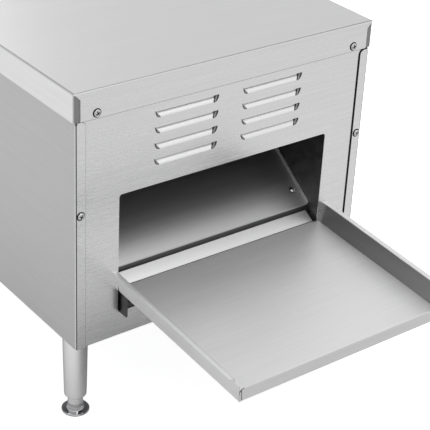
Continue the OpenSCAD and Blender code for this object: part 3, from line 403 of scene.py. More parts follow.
FINISHES = {
    finish.name: finish
    for finish in (
        BrushedSteel("cover_steel", (0.545, 0.545, 0.548), 0.36, contrast=0.10),
        # Lighter copy of the cover steel for the side skirts: painted light.
        BrushedSteel("cover_side_painted_light", (0.90, 0.90, 0.902), 0.36),
        # Darker copy of the cover steel for the corner tabs: painted shade from the skirt beside them.
        BrushedSteel("tab_painted_shade", (0.27, 0.27, 0.272), 0.40),
        BrushedSteel("panel_steel", (0.76, 0.76, 0.763), 0.27),
        BrushedSteel("side_steel", (0.59, 0.59, 0.593), 0.36),
        BrushedSteel("tray_steel", (0.69, 0.69, 0.692), 0.46, 0.62, grain=Grain.ALONG_X),
        # Copies of the tray steel, toned by how light falls on each face: the darker underside and inner wall
        # faces are painted shade, the lighter outer wall faces painted light, and the ramp has its own
        # painted tone.
        BrushedSteel("tray_under_painted_shade", (0.24, 0.24, 0.242), 0.46),
        BrushedSteel("tray_ramp_painted_light", (0.54, 0.54, 0.542), 0.44, grain=Grain.ALONG_X),
        BrushedSteel("tray_wall_painted_light", (0.86, 0.86, 0.862), 0.32),
        BrushedSteel("tray_inner_painted_shade", (0.30, 0.30, 0.302), 0.32),
        # Pale, mostly diffuse copy for the chamber floor: painted light where the floor shows through the
        # opening.
        BrushedSteel("chamber_painted_light", (0.85, 0.85, 0.852), 0.5, 0.2),
        BrushedSteel("chute_steel", (0.36, 0.36, 0.364), 0.41),
        # Lighter copy of the chute steel for its side flanges: painted light.
        BrushedSteel("chute_flange_painted_light", (0.55, 0.55, 0.552), 0.4, 0.5),
        # Painted shade on the chute's lip.
        BrushedSteel("chute_lip_painted_shade", (0.11, 0.11, 0.112), 0.40),
        # Painted shade on the tray's hook plates, which sit in the shaded opening.
        BrushedSteel("hook_painted_shade", (0.10, 0.10, 0.102), 0.40),
        BrushedSteel("louvre_shade", (0.05, 0.05, 0.052), 0.42),
        # Painted shade: a dark line on bends and along the tray's joints.
        BrushedSteel("fold_painted_shade", (0.09, 0.09, 0.092), 0.35),
        # Mid-grey painted shade: the upper part of the cover's rounded edges, the shadow lines under the end
        # skirts and the inner strips of the louvre cheeks.
        BrushedSteel("mid_painted_shade", (0.25, 0.25, 0.252), 0.36),
        # Grey painted shade in the gap round the left panel's flanges.
        BrushedSteel("seam_painted_shade", (0.20, 0.20, 0.202), 0.50),
        # Painted highlight on the side panels' bends.
        BrushedSteel("fold_painted_highlight", (0.80, 0.80, 0.80), 0.30),
        BrushedSteel("leg_steel", (0.92, 0.92, 0.92), 0.20, contrast=0.05, smudges=0.02),
        # Painted highlight along the chute flanges' top edge.
        Bright("edge_painted_highlight", (0.85, 0.85, 0.85), 0.30),
        Bright("foot_chrome", (0.52, 0.52, 0.53), 0.05),
        Bright("screw_steel", (0.56, 0.56, 0.56), 0.13),
        Bright("wire_steel", (0.58, 0.58, 0.57), 0.22),
        Bright("sprocket_steel", (0.40, 0.40, 0.40), 0.38),
        Bright("chain_steel", (0.28, 0.27, 0.26), 0.42),
        Bright("bronze_bush", (0.60, 0.40, 0.18), 0.36),
        # Near-black painted shade for gaps round flanges and plates, screw recesses and the painted shadow
        # ring under screw heads.
        Bright("edge_painted_shade", (0.035, 0.035, 0.037), 0.55),
        Zinc("galvanised", (0.46, 0.47, 0.48), 0.42),
        Zinc("dark_liner", (0.16, 0.16, 0.165), 0.42),
        Moulded("control_black", (0.02, 0.02, 0.021), 0.5),
        Moulded("knob_black", (0.012, 0.012, 0.012), 0.38),
        Moulded("fan_plastic", (0.02, 0.02, 0.02), 0.45),
        Moulded("motor_paint", (0.05, 0.055, 0.06), 0.45, skin=600.0, depth=0.08 * MM),
        Moulded("ceramic_white", (0.78, 0.76, 0.72), 0.5),
        Moulded("board_green", (0.02, 0.14, 0.05), 0.35),
        Moulded("terminal_cream", (0.70, 0.66, 0.55), 0.5),
        Moulded("print_white", (0.82, 0.82, 0.80), 0.5),
        Glassy("quartz", (0.80, 0.80, 0.78), 0.3),
        Glassy("lamp_amber", (0.80, 0.22, 0.03), 0.15, clear=0.4),
    )
}
MATERIALS: dict[str, bpy.types.Material] = {}


def material(name: str) -> bpy.types.Material:
    """The material of a named finish, made once.

    Args:
        name: The finish's name.

    Returns:
        The material.
    """
    if name not in MATERIALS:
        MATERIALS[name] = FINISHES[name].make()
    return MATERIALS[name]


# ---- Measures ----


def mid(face: BMFace) -> Vector:
    """A face's middle."""
    return face.calc_center_median()


def same(one: float, other: float) -> bool:
    """Whether two places are one."""
    return abs(one - other) < TOUCH


def between(value: float, low: float, high: float) -> bool:
    """Whether a value lies in a range, its ends included."""
    return low - TOUCH <= value <= high + TOUCH


# ---- Workpieces ----


class Workpiece:
    """A mesh on the bench: operators shape it, and it leaves as one finished piece."""

    def __init__(self) -> None:
        """Starts empty."""
        self.bm = bmesh.new()
        self.stains: list[str] = []

    def block(self, low: Vector, high: Vector) -> list[BMVert]:
        """Adds a block between two corners.

        Args:
            low: The lowest corner.
            high: The highest.

        Returns:
            The block's corners.
        """
        verts = bmesh.ops.create_cube(self.bm, size=1.0)["verts"]
        bmesh.ops.scale(self.bm, vec=high - low, verts=verts)
        bmesh.ops.translate(self.bm, vec=(low + high) / 2, verts=verts)
        return verts

    def plate(self, corners: Iterable[Vector]) -> BMFace:
        """Adds one flat face."""
        return self.bm.faces.new([self.bm.verts.new(corner) for corner in corners])

    def ribbon(self, path: Sequence[Vector], run: Vector) -> list[BMFace]:
        """Draws a path out sideways into a folded strip.

        Args:
            path: The strip's corners.
            run: The way that it is drawn out.

        Returns:
            The strip's faces.
        """
        verts = [self.bm.verts.new(point) for point in path]
        edges = [self.bm.edges.new(pair) for pair in zip(verts, verts[1:])]
        made = bmesh.ops.extrude_edge_only(self.bm, edges=edges)["geom"]
        bmesh.ops.translate(self.bm, vec=run, verts=[g for g in made if isinstance(g, BMVert)])
        return [g for g in made if isinstance(g, BMFace)]

    def drawn(self, edges: Iterable[BMEdge], run: Vector = ZERO) -> list[BMVert]:
        """Extends the sheet from some of its edges.

        Args:
            edges: The edges.
            run: The way from them to the new edges.

        Returns:
            The new corners.
        """
        made = bmesh.ops.extrude_edge_only(self.bm, edges=list(edges))["geom"]
        verts = [g for g in made if isinstance(g, BMVert)]
        bmesh.ops.translate(self.bm, vec=run, verts=verts)
        return verts

    def raised(self, face: BMFace, run: Vector) -> list[BMVert]:
        """Draws a flat face out into a solid.

        Args:
            face: The face, which stays as the solid's bottom.
            run: The way to its top.

        Returns:
            The top's corners.
        """
        made = bmesh.ops.extrude_face_region(self.bm, geom=[face], use_keep_orig=True)["geom"]
        verts = [g for g in made if isinstance(g, BMVert)]
        bmesh.ops.translate(self.bm, vec=run, verts=verts)
        return verts

    def edges(self, test: Callable[[Vector, Vector], bool]) -> list[BMEdge]:
        """The edges whose two ends pass a test."""
        return [e for e in self.bm.edges if test(e.verts[0].co, e.verts[1].co)]

    def verts(self, test: Callable[[Vector], bool]) -> list[BMVert]:
        """The corners that pass a test."""
        return [v for v in self.bm.verts if test(v.co)]

    def folds(self) -> list[BMEdge]:
        """The edges where two faces meet at an angle."""
        self.bm.normal_update()
        return [e for e in self.bm.edges if len(e.link_faces) == 2 and e.calc_face_angle() > 0.2]

    def round_edges(self, edges: Sequence[BMEdge], radius: float, segments: int = 4) -> None:
        """Rounds edges."""
        bmesh.ops.bevel(
            self.bm, geom=list(edges), offset=radius, segments=segments, profile=0.5,
            affect="EDGES", material=-1,
        )

    def round_corners(self, verts: Sequence[BMVert], radius: float, segments: int = 5) -> None:
        """Rounds flat corners."""
        bmesh.ops.bevel(
            self.bm, geom=list(verts), offset=radius, segments=segments, profile=0.5,
            affect="VERTICES", material=-1,
        )

    def cut(self, point: Vector, normal: Vector, test: Callable[[BMFace], bool] = lambda f: True) -> None:
        """Scores the sheet along a plane.

        Args:
            point: A point of the plane.
            normal: The plane's normal.
            test: Which faces are scored.
        """
        faces = [f for f in self.bm.faces if test(f)]
        edges = {e for f in faces for e in f.edges}
        verts = {v for f in faces for v in f.verts}
        bmesh.ops.bisect_plane(
            self.bm, geom=[*faces, *edges, *verts], dist=TOUCH / 10, plane_co=point, plane_no=normal)

    def drop(self, test: Callable[[BMFace], bool]) -> None:
        """Takes away the faces that pass a test."""
        faces = [f for f in self.bm.faces if test(f)]
        bmesh.ops.delete(self.bm, geom=faces, context="FACES")

    def orient(self, probe: Vector) -> None:
        """Turns an open sheet's faces one way, the largest of them towards a direction.

        Args:
            probe: The direction.
        """
        bmesh.ops.recalc_face_normals(self.bm, faces=self.bm.faces[:])
        widest = max(self.bm.faces, key=lambda f: f.calc_area() * abs(f.normal.dot(probe)))
        if widest.normal.dot(probe) < 0:
            bmesh.ops.reverse_faces(self.bm, faces=self.bm.faces[:])

    def merge(self) -> None:
        """Joins corners that lie on each other."""
        bmesh.ops.remove_doubles(self.bm, verts=self.bm.verts[:], dist=TOUCH)

    def thicken(self, thickness: float) -> None:
        """Gives the sheet its wall, on the side away from its normals."""
        bmesh.ops.solidify(self.bm, geom=self.bm.faces[:], thickness=thickness)

    def spun(self, profile: Sequence[tuple[float, float]], foot: Vector, steps: int = 48) -> list[BMVert]:
        """Turns a profile about an upright axis.

        Args:
            profile: Radius and height of each point, in order.
            foot: The axis's lowest point.
            steps: Faces round the turn.

        Returns:
            The new corners.
        """
        before = set(self.bm.verts)
        verts = [self.bm.verts.new(foot + Vector((radius, 0, height))) for radius, height in profile]
        edges = [self.bm.edges.new(pair) for pair in zip(verts, verts[1:])]
        bmesh.ops.spin(
            self.bm, geom=[*verts, *edges], cent=foot, axis=Z_AXIS, angle=math.tau, steps=steps,
            use_merge=True,
        )
        made = [v for v in self.bm.verts if v not in before]
        bmesh.ops.remove_doubles(self.bm, verts=made, dist=TOUCH)
        made = [v for v in self.bm.verts if v not in before]
        faces = list({f for v in made for f in v.link_faces})
        bmesh.ops.recalc_face_normals(self.bm, faces=faces)
        return made

    def slab(self, corners: Iterable[Vector], run: Vector, finish: str,
             rounded: Callable[[Vector], bool] = lambda p: False, radius: float = 0.0) -> None:
        """Adds a closed flat plate of another finish.

        Args:
            corners: The corners of one of its faces.
            run: The way to its other face.
            finish: The plate's finish.
            rounded: Which of the corners are rounded.
            radius: Their radius.
        """
        before = set(self.bm.faces)
        face = self.plate(corners)
        tips = [v for v in face.verts if rounded(v.co)]
        if tips:
            self.round_corners(tips, radius)
        self.raised(next(f for f in self.bm.faces if f not in before), run)
        made = [f for f in self.bm.faces if f not in before]
        bmesh.ops.recalc_face_normals(self.bm, faces=made)
        for face in made:
            face.material_index = self.slot_of(finish)

    def turned(self, verts: Sequence[BMVert], about: Vector, axis: Vector, angle: float) -> None:
        """Turns some corners about an axis."""
        bmesh.ops.rotate(self.bm, verts=list(verts), cent=about, matrix=Matrix.Rotation(angle, 3, axis))

    def stain(self, finish: str, test: Callable[[BMFace], bool]) -> None:
        """Gives the faces that pass a test another finish.

        Args:
            finish: The finish.
            test: Which faces get it.
        """
        slot = self.slot_of(finish)
        for face in self.bm.faces:
            if test(face):
                face.material_index = slot

    def slot_of(self, finish: str) -> int:
        """The material slot of an added finish.

        Args:
            finish: The finish.

        Returns:
            The slot's number.
        """
        if finish not in self.stains:
            self.stains.append(finish)
        return self.stains.index(finish) + 1

    def leave(self, name: str, finish: str, body: str, slot: str, replaces: Sequence[str] = (),
              edge: float = 0.15 * MM) -> bpy.types.Object:
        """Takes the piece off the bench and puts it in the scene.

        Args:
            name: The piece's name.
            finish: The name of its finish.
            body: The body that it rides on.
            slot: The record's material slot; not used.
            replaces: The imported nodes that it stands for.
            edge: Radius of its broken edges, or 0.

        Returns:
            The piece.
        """
        mesh = self.pressed(name)
        mesh.polygons.foreach_set("use_smooth", [True] * len(mesh.polygons))
        piece = bpy.data.objects.new(name, mesh)
        bpy.context.scene.collection.objects.link(piece)
        if edge:
            rounding = piece.modifiers.new("edges", "BEVEL")
            rounding.width = edge
            rounding.segments = 2
            rounding.limit_method = "ANGLE"
            rounding.angle_limit = math.radians(40)
        weights = piece.modifiers.new("normals", "WEIGHTED_NORMAL")
        weights.keep_sharp = True
        for each in (finish, *self.stains):
            mesh.materials.append(material(each))
        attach(piece, body)
        if replaces:
            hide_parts(*replaces)
        return piece

    def pressed(self, name: str) -> bpy.types.Mesh:
        """Empties the bench into a mesh."""
        mesh = bpy.data.meshes.new(name)
        self.bm.to_mesh(mesh)
        self.bm.free()
        return mesh


# ---- Places ----


@dataclass(frozen=True)
class Shell:
    """The body's planes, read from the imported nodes, and the sheet it is folded from."""

    front: float
    back: float
    base: float
    sheet: float = 1.0 * MM
    bend: float = 1.5 * MM

    @classmethod
    def read(cls) -> "Shell":
        """Reads the planes."""
        low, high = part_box("top_cover")
        return cls(low.y, high.y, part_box("base_plate")[0].z)

    def at(self, x: float, y: float, z: float) -> Vector:
        """A point by its place across, behind the front face and above the body's underside."""
        return Vector((x, self.front + y, self.base + z))


# ---- Sub-assemblies ----


@dataclass
class Cover:
    """The lift-off top, folded from one sheet."""

    shell: Shell
    tab: float = 19 * MM
    tab_zone: tuple[float, float] = (0.6 * MM, 1.4 * MM)
    skirt_stop: float = 7.4 * MM
    edge_line: float = 1.25 * MM
    fold_share: float = 0.98

    def build(self) -> None:
        """Folds the top, its side skirts with their tabs, and its end skirts."""
        shell, work = self.shell, Workpiece()
        low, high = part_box("top_cover")
        work.block(low, high)
        work.bm.normal_update()
        work.drop(lambda f: f.normal.z < -0.9)
        work.round_edges(work.edges(lambda a, b: min(a.z, b.z) > high.z - TOUCH), shell.bend)
        work.bm.normal_update()
        for end, sign in ((low.y, 1), (high.y, -1)):
            self._trim_end(work, end, high)
            self._trim_side(work, end + sign * (shell.sheet + shell.bend), sign)
            for side in SIDES:
                self._corner(work, side * high.x, -side * self.tab, end, sign)
        work.merge()
        work.orient(Z_AXIS)
        work.thicken(shell.sheet)
        work.bm.normal_update()
        # The cover's faces get tones by the way that they face: the lighter side skirts and the end skirts in
        # the panel's tone are painted light.
        work.stain("cover_side_painted_light", lambda f: abs(f.normal.x) > 0.9 and mid(f).z < high.z - shell.bend)
        work.stain("panel_steel", lambda f: abs(f.normal.y) > 0.9)
        # The corner tabs get painted shade.
        work.stain("tab_painted_shade", lambda f: self._on_tab(f, low, high))
        # Painted shade on the upper part of the top's rounded edges.
        work.stain("mid_painted_shade", lambda f: 0.6 < f.normal.z < 0.995)
        self._edge_lines(work, low, high)
        work.leave("cover_sheet", "cover_steel", "housing", "brushed_stainless", ["top_cover"])

    def _corner(self, work: Workpiece, outer: float, run: float, end: float, sign: int) -> None:
        """Folds a side skirt round one corner, behind the end skirt.

        Args:
            work: The sheet.
            outer: The side skirt's outer face.
            run: The way from there to the tab's end.
            end: The end skirt's outer face.
            sign: The way from there to the cover's middle.
        """
        shell, (low, high) = self.shell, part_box("top_cover")
        tab_y = end + sign * shell.sheet
        path = [Vector((outer, end + sign * (shell.sheet + shell.bend), low.z)),
                Vector((outer, tab_y, low.z)), Vector((outer + run, tab_y, low.z))]
        strip = work.ribbon(path, Vector((0, 0, high.z - shell.bend - low.z)))
        fold = [e for e in {e for f in strip for e in f.edges} if len(e.link_faces) == 2]
        work.round_edges(fold, shell.bend * self.fold_share)

    def _edge_lines(self, work: Workpiece, low: Vector, high: Vector) -> None:
        """Draws a painted shadow line under each end skirt: a thin grey plate on the panel behind it.

        Args:
            work: The sheet.
            low: The cover's lowest corner.
            high: Its highest corner.
        """
        stop, under = high.x - self.skirt_stop, low.z - self.edge_line
        faces = (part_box("discharge_panel")[0].y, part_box("feed_panel")[1].y)
        for y, out in zip(faces, (-1, 1)):
            corners = [Vector((x, y, z)) for x, z in (
                (-stop, under), (stop, under), (stop, low.z), (-stop, low.z))]
            work.slab(corners, Y_AXIS * out * LINE_HEIGHT, "mid_painted_shade")

    def _on_tab(self, face: BMFace, low: Vector, high: Vector) -> bool:
        """Whether a face is a corner tab's outer side."""
        y = mid(face).y
        inwards = min(y - low.y, high.y - y)
        return abs(face.normal.y) > 0.9 and between(inwards, *self.tab_zone)

    def _trim_end(self, work: Workpiece, end: float, high: Vector) -> None:
        """Cuts an end skirt's corners away, with a slope up to the cover's corner.

        Args:
            work: The sheet.
            end: The skirt's outer face.
            high: The cover's highest corner.
        """
        stop = high.x - self.skirt_stop

        def on_end(f: BMFace) -> bool:
            """Whether a face is of this skirt."""
            return abs(f.normal.y) > 0.99 and abs(mid(f).y - end) < CLEAR

        for side in SIDES:
            work.cut(Vector((side * stop, 0, 0)), X_AXIS, on_end)
            slope = Vector((side, 0, -1)).normalized()
            work.cut(Vector((side * stop, end, high.z - self.skirt_stop)), slope, on_end)
        work.drop(lambda f: on_end(f) and self._outside(f, stop, high))

    def _outside(self, face: BMFace, stop: float, high: Vector) -> bool:
        """Whether a face of an end skirt lies past its stop and under the slope."""
        centre = mid(face)
        over = abs(centre.x) - stop
        return over > 0 and centre.z - (high.z - self.skirt_stop) < over

    def _trim_side(self, work: Workpiece, stop: float, sign: int) -> None:
        """Ends the side skirts where their corner folds begin.

        Args:
            work: The sheet.
            stop: The new end.
            sign: The way from there to the cover's middle.
        """

        def on_side(f: BMFace) -> bool:
            """Whether a face is of a side skirt."""
            return abs(f.normal.x) > 0.99

        work.cut(Vector((0, stop, 0)), Y_AXIS, on_side)
        work.drop(lambda f: on_side(f) and (mid(f).y - stop) * sign < 0)


@dataclass
class SidePanels:
    """The two side panels, with their flanges round the ends."""

    shell: Shell
    flange_set: float = 0.4 * MM
    flange: float = 11.3 * MM
    corner: float = 5 * MM
    lid_flange: float = 12 * MM
    tab_back: float = 2.2 * MM
    relief: float = 2.2 * MM
    # Width and finish of the painted shade in the gap round each flange, left then right.
    seams: tuple[tuple[float, str], ...] = ((0.9 * MM, "seam_painted_shade"), (1.8 * MM, "edge_painted_shade"))
    top_gap: tuple[float, float] = (0.5 * MM, 1.8 * MM)
    top_seam: tuple[float, float] = (0.3 * MM, 1.6 * MM)
    seam_set: float = 1.5 * MM
    wide_face: float = 0.01  # square metres
    long_edge: float = 300 * MM

    def build(self) -> None:
        """Makes the left panel and its mirror image."""
        for side, name in ((-1, "left_side_panel"), (1, "right_side_panel")):
            low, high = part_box(name)
            outer = low.x if side < 0 else high.x
            self._panel(side, outer, low, high, name)

    def _panel(self, side: int, outer: float, low: Vector, high: Vector, name: str) -> None:
        """Folds one side panel.

        Args:
            side: -1 for the left panel, 1 for the right.
            outer: The panel's outer face.
            low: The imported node's lowest corner.
            high: Its highest corner.
            name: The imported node.
        """
        shell, work = self.shell, Workpiece()
        flange_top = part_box("top_cover")[0].z - self.top_gap[side > 0]
        inner = outer - side * self.flange
        path = [Vector((x, y, low.z)) for x, y in (
            (inner, low.y), (outer, low.y), (outer, high.y), (inner, high.y))]
        work.ribbon(path, Vector((0, 0, flange_top - low.z)))
        work.round_edges(work.folds(), shell.bend)
        work.round_corners(work.verts(lambda p: same(p.x, inner) and p.z > flange_top - TOUCH), self.corner)
        self._relieve(work, side, outer, flange_top)
        for y in (low.y + self.tab_back, high.y - self.tab_back):
            work.cut(Vector((0, y, 0)), Y_AXIS, lambda f: f.calc_area() > self.wide_face)
        rim = work.edges(lambda a, b: min(a.z, b.z) > flange_top - TOUCH and same(a.x, outer)
                         and same(b.x, outer) and abs(a.y - b.y) > self.long_edge)
        work.drawn(rim, Vector((0, 0, high.z - flange_top)))
        lid = work.edges(lambda a, b: min(a.z, b.z) > high.z - TOUCH)
        work.drawn(lid, Vector((-side * self.lid_flange, 0, 0)))
        work.orient(X_AXIS * side)
        work.thicken(shell.sheet)
        work.bm.normal_update()
        work.stain("panel_steel", lambda f: abs(f.normal.y) > 0.99)
        # The bends get a painted dark line towards the ends and a painted highlight towards the side, and the
        # flanges' cut edges painted shade.
        work.stain("fold_painted_shade", lambda f: between(abs(f.normal.y), 0.75, 0.99))
        work.stain("fold_painted_highlight", lambda f: between(abs(f.normal.y), 0.1, 0.74))
        work.stain(self.seams[side > 0][1], lambda f: self._is_edge(f, side, inner))
        self._seams(work, side, inner, outer, low.z, flange_top)
        work.leave(name.replace("_panel", "_sheet"), "side_steel", "housing", "brushed_stainless", [name])

    def _relieve(self, work: Workpiece, side: int, outer: float, top: float) -> None:
        """Notches the upper end of each bend.

        Args:
            work: The sheet.
            side: The panel's side.
            outer: The panel's outer face.
            top: The flanges' upper end.
        """
        work.bm.normal_update()
        stop = outer - side * self.relief

        def near(f: BMFace) -> bool:
            """Whether a face is of a flange or its bend."""
            return abs(f.normal.x) < 0.99

        work.cut(Vector((0, 0, top - self.relief)), Z_AXIS, near)
        work.cut(Vector((stop, 0, 0)), X_AXIS, near)
        work.drop(lambda f: near(f) and mid(f).z > top - self.relief and (mid(f).x - stop) * side > 0)

    def _is_edge(self, face: BMFace, side: int, inner: float) -> bool:
        """Whether a face is the flange's cut edge."""
        return abs(face.normal.y) < 0.1 and (mid(face).x - inner) * side < self.corner

    def _seams(self, work: Workpiece, side: int, inner: float, outer: float, low: float,
               top: float) -> None:
        """Lays thin dark plates round each flange: painted shade in the gap.

        Args:
            work: The sheet.
            side: The panel's side.
            inner: The flanges' cut edge.
            outer: The panel's outer face.
            low: The flanges' lower end.
            top: Their upper end.
        """
        seam, finish = self.seams[side > 0]
        rim, reach = inner - side * seam, outer - side * self.shell.sheet
        above = top + self.top_seam[side > 0]
        ends = (self.shell.front + self.seam_set, self.shell.back - self.seam_set)
        for y, out in zip(ends, (-1, 1)):
            corners = [Vector((x, y, z)) for x, z in (
                (rim, low), (reach, low), (reach, above), (rim, above))]
            work.slab(corners, Y_AXIS * out * LINE_HEIGHT, finish,
                      lambda p: same(p.x, rim) and p.z > top, self.corner + seam)


@dataclass
class DischargePanel:
    """The front sheet with its opening and its pressed-in louvres."""

    shell: Shell
    opening_half: float = 132.2 * MM
    opening_low: float = 28 * MM
    opening_high: float = 164.2 * MM
    opening_corner: float = 3 * MM
    louvre_width: float = 77 * MM
    louvre_height: float = 8.0 * MM
    louvre_depth: float = 3.7 * MM
    lean: float = 0.95
    foot_round: float = 0.9 * MM
    scoop_round: float = 6.0 * MM
    cheek_steps: int = 3
    cheek_width: float = 4.6 * MM
    cheek_start: float = 0.6 * MM
    cheek_taper: float = 0.5
    louvre_inner: float = 15.1 * MM
    louvre_tops: tuple[float, ...] = (244.5 * MM, 227.3 * MM, 210.1 * MM, 192.9 * MM)
    notch: float = 165 * MM
    notch_gap: float = 0.2 * MM
    rim: float = 12 * MM
    louvre_steps: int = 10

    def build(self) -> None:
        """Cuts and presses the sheet."""
        shell, work = self.shell, Workpiece()
        low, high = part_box("discharge_panel")
        face_y = low.y
        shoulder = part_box("top_cover")[0].z - self.notch_gap
        outline = [(low.x, low.z), (high.x, low.z), (high.x, shoulder), (self.notch, shoulder),
                   (self.notch, high.z), (-self.notch, high.z), (-self.notch, shoulder), (low.x, shoulder)]
        work.plate(Vector((x, face_y, z)) for x, z in outline)
        self._score(work)
        work.drop(lambda f: self._open(mid(f)))
        work.round_corners(work.verts(self._is_opening_corner), self.opening_corner)
        self._press(work, face_y)
        work.merge()
        rim = work.edges(lambda a, b: min(a.z, b.z) > high.z - TOUCH)
        work.drawn(rim, Y_AXIS * self.rim)
        work.orient(-Y_AXIS)
        work.thicken(shell.sheet)
        work.bm.normal_update()
        work.leave("discharge_sheet", "panel_steel", "housing", "brushed_stainless", ["discharge_panel"])

    def _columns(self) -> list[tuple[float, float]]:
        """Left and right end of each louvre column."""
        inner, outer = self.louvre_inner, self.louvre_inner + self.louvre_width
        return [(-outer, -inner), (inner, outer)]

    def _score(self, work: Workpiece) -> None:
        """Scores the sheet along the edges of what is cut out.

        Args:
            work: The sheet.
        """
        base = self.shell.base
        ends = [x for left, right in self._columns()
                for x in (left, left + self.scoop_round, right - self.scoop_round, right)]
        for x in (-self.opening_half, self.opening_half, *ends):
            work.cut(Vector((x, 0, 0)), X_AXIS)
        levels = [self.opening_low, self.opening_high]
        levels += [z - drop for z in self.louvre_tops for drop in (0, self.louvre_height)]
        for z in levels:
            work.cut(Vector((0, 0, base + z)), Z_AXIS)

    def _open(self, centre: Vector) -> bool:
        """Whether a place on the sheet is cut out.

        Args:
            centre: The place.

        Returns:
            Whether it is in the opening or in a louvre.
        """
        z = centre.z - self.shell.base
        if abs(centre.x) < self.opening_half and self.opening_low < z < self.opening_high:
            return True
        return any(left < centre.x < right and top - self.louvre_height < z < top
                   for left, right in self._columns() for top in self.louvre_tops)

    def _is_opening_corner(self, p: Vector) -> bool:
        """Whether a corner is one of the opening's four."""
        z = p.z - self.shell.base
        return same(abs(p.x), self.opening_half) and (
            same(z, self.opening_low) or same(z, self.opening_high))

    def _press(self, work: Workpiece, face_y: float) -> None:
        """Presses every louvre in.

        Args:
            work: The sheet.
            face_y: The sheet's outer face.
        """
        for left, right in self._columns():
            for top in self.louvre_tops:
                self._scoop(work, left, right, self.shell.base + top - self.louvre_height, face_y)

    def _scoop(self, work: Workpiece, left: float, right: float, low: float, face_y: float) -> None:
        """Draws one louvre up row by row: a blade that leans in, between slanted cheeks.

        Args:
            work: The sheet.
            left: The louvre's left end.
            right: Its right end.
            low: Its lower edge.
            face_y: The sheet's outer face.
        """
        steps = self.louvre_steps
        rows = [self._row(left, right, low, face_y, k / steps) for k in range(steps + 1)]
        row = [work.bm.verts.new(point) for point in rows[0]]
        edges = [work.bm.edges.new(pair) for pair in zip(row, row[1:])]
        # The cheeks are painted with near-black shade and their inner strips with mid-grey painted shade; the
        # blade keeps the panel's steel.
        shade, middle = work.slot_of("louvre_shade"), work.slot_of("mid_painted_shade")
        for step, points in enumerate(rows[1:]):
            made = bmesh.ops.extrude_edge_only(work.bm, edges=edges)["geom"]
            fresh = {g for g in made if isinstance(g, BMVert)}
            faces = [g for g in made if isinstance(g, BMFace)]
            row = [next(e.other_vert(v) for e in v.link_edges if e.other_vert(v) in fresh) for v in row]
            for v, point in zip(row, points):
                v.co = point
            edges = [next(e for e in a.link_edges if e.other_vert(a) is b) for a, b in zip(row, row[1:])]
            faces.sort(key=lambda f: mid(f).x)
            inner = (1, 2, len(faces) - 2) if 0 < step < steps - 2 else ()
            for place, face in enumerate(faces):
                face.material_index = middle if place in inner else shade
            max(faces, key=lambda f: f.calc_area()).material_index = 0
        for end, x in ((0, left), (-1, right)):
            work.plate([*(points[end] for points in rows), Vector((x, face_y, low))])

    def _row(self, left: float, right: float, low: float, face_y: float, share: float) -> list[Vector]:
        """One level line of a louvre, from its left rim over the blade to its right rim.

        Args:
            left: The louvre's left end.
            right: Its right end.
            low: Its lower edge.
            face_y: The sheet's outer face.
            share: The line's height, as a share of the louvre's.

        Returns:
            The line's points.
        """
        rise = self.louvre_height * share
        inset = self.scoop_round * (1 - math.sqrt(1 - (1 - share) ** 2))
        depth = self.lean * (rise - self.foot_round * (1 - math.exp(-rise / self.foot_round)))
        depth = min(depth, self.louvre_depth)
        width = self.cheek_width * (1 - math.exp(-rise / self.cheek_start)) * (1 - self.cheek_taper * share)
        shares = [k / self.cheek_steps for k in range(self.cheek_steps + 1)]
        near, far = [
            [Vector((end + side * (inset + width * k), face_y + depth * k, low + rise)) for k in shares]
            for end, side in ((left, 1), (right, -1))]
        return near + far[::-1]


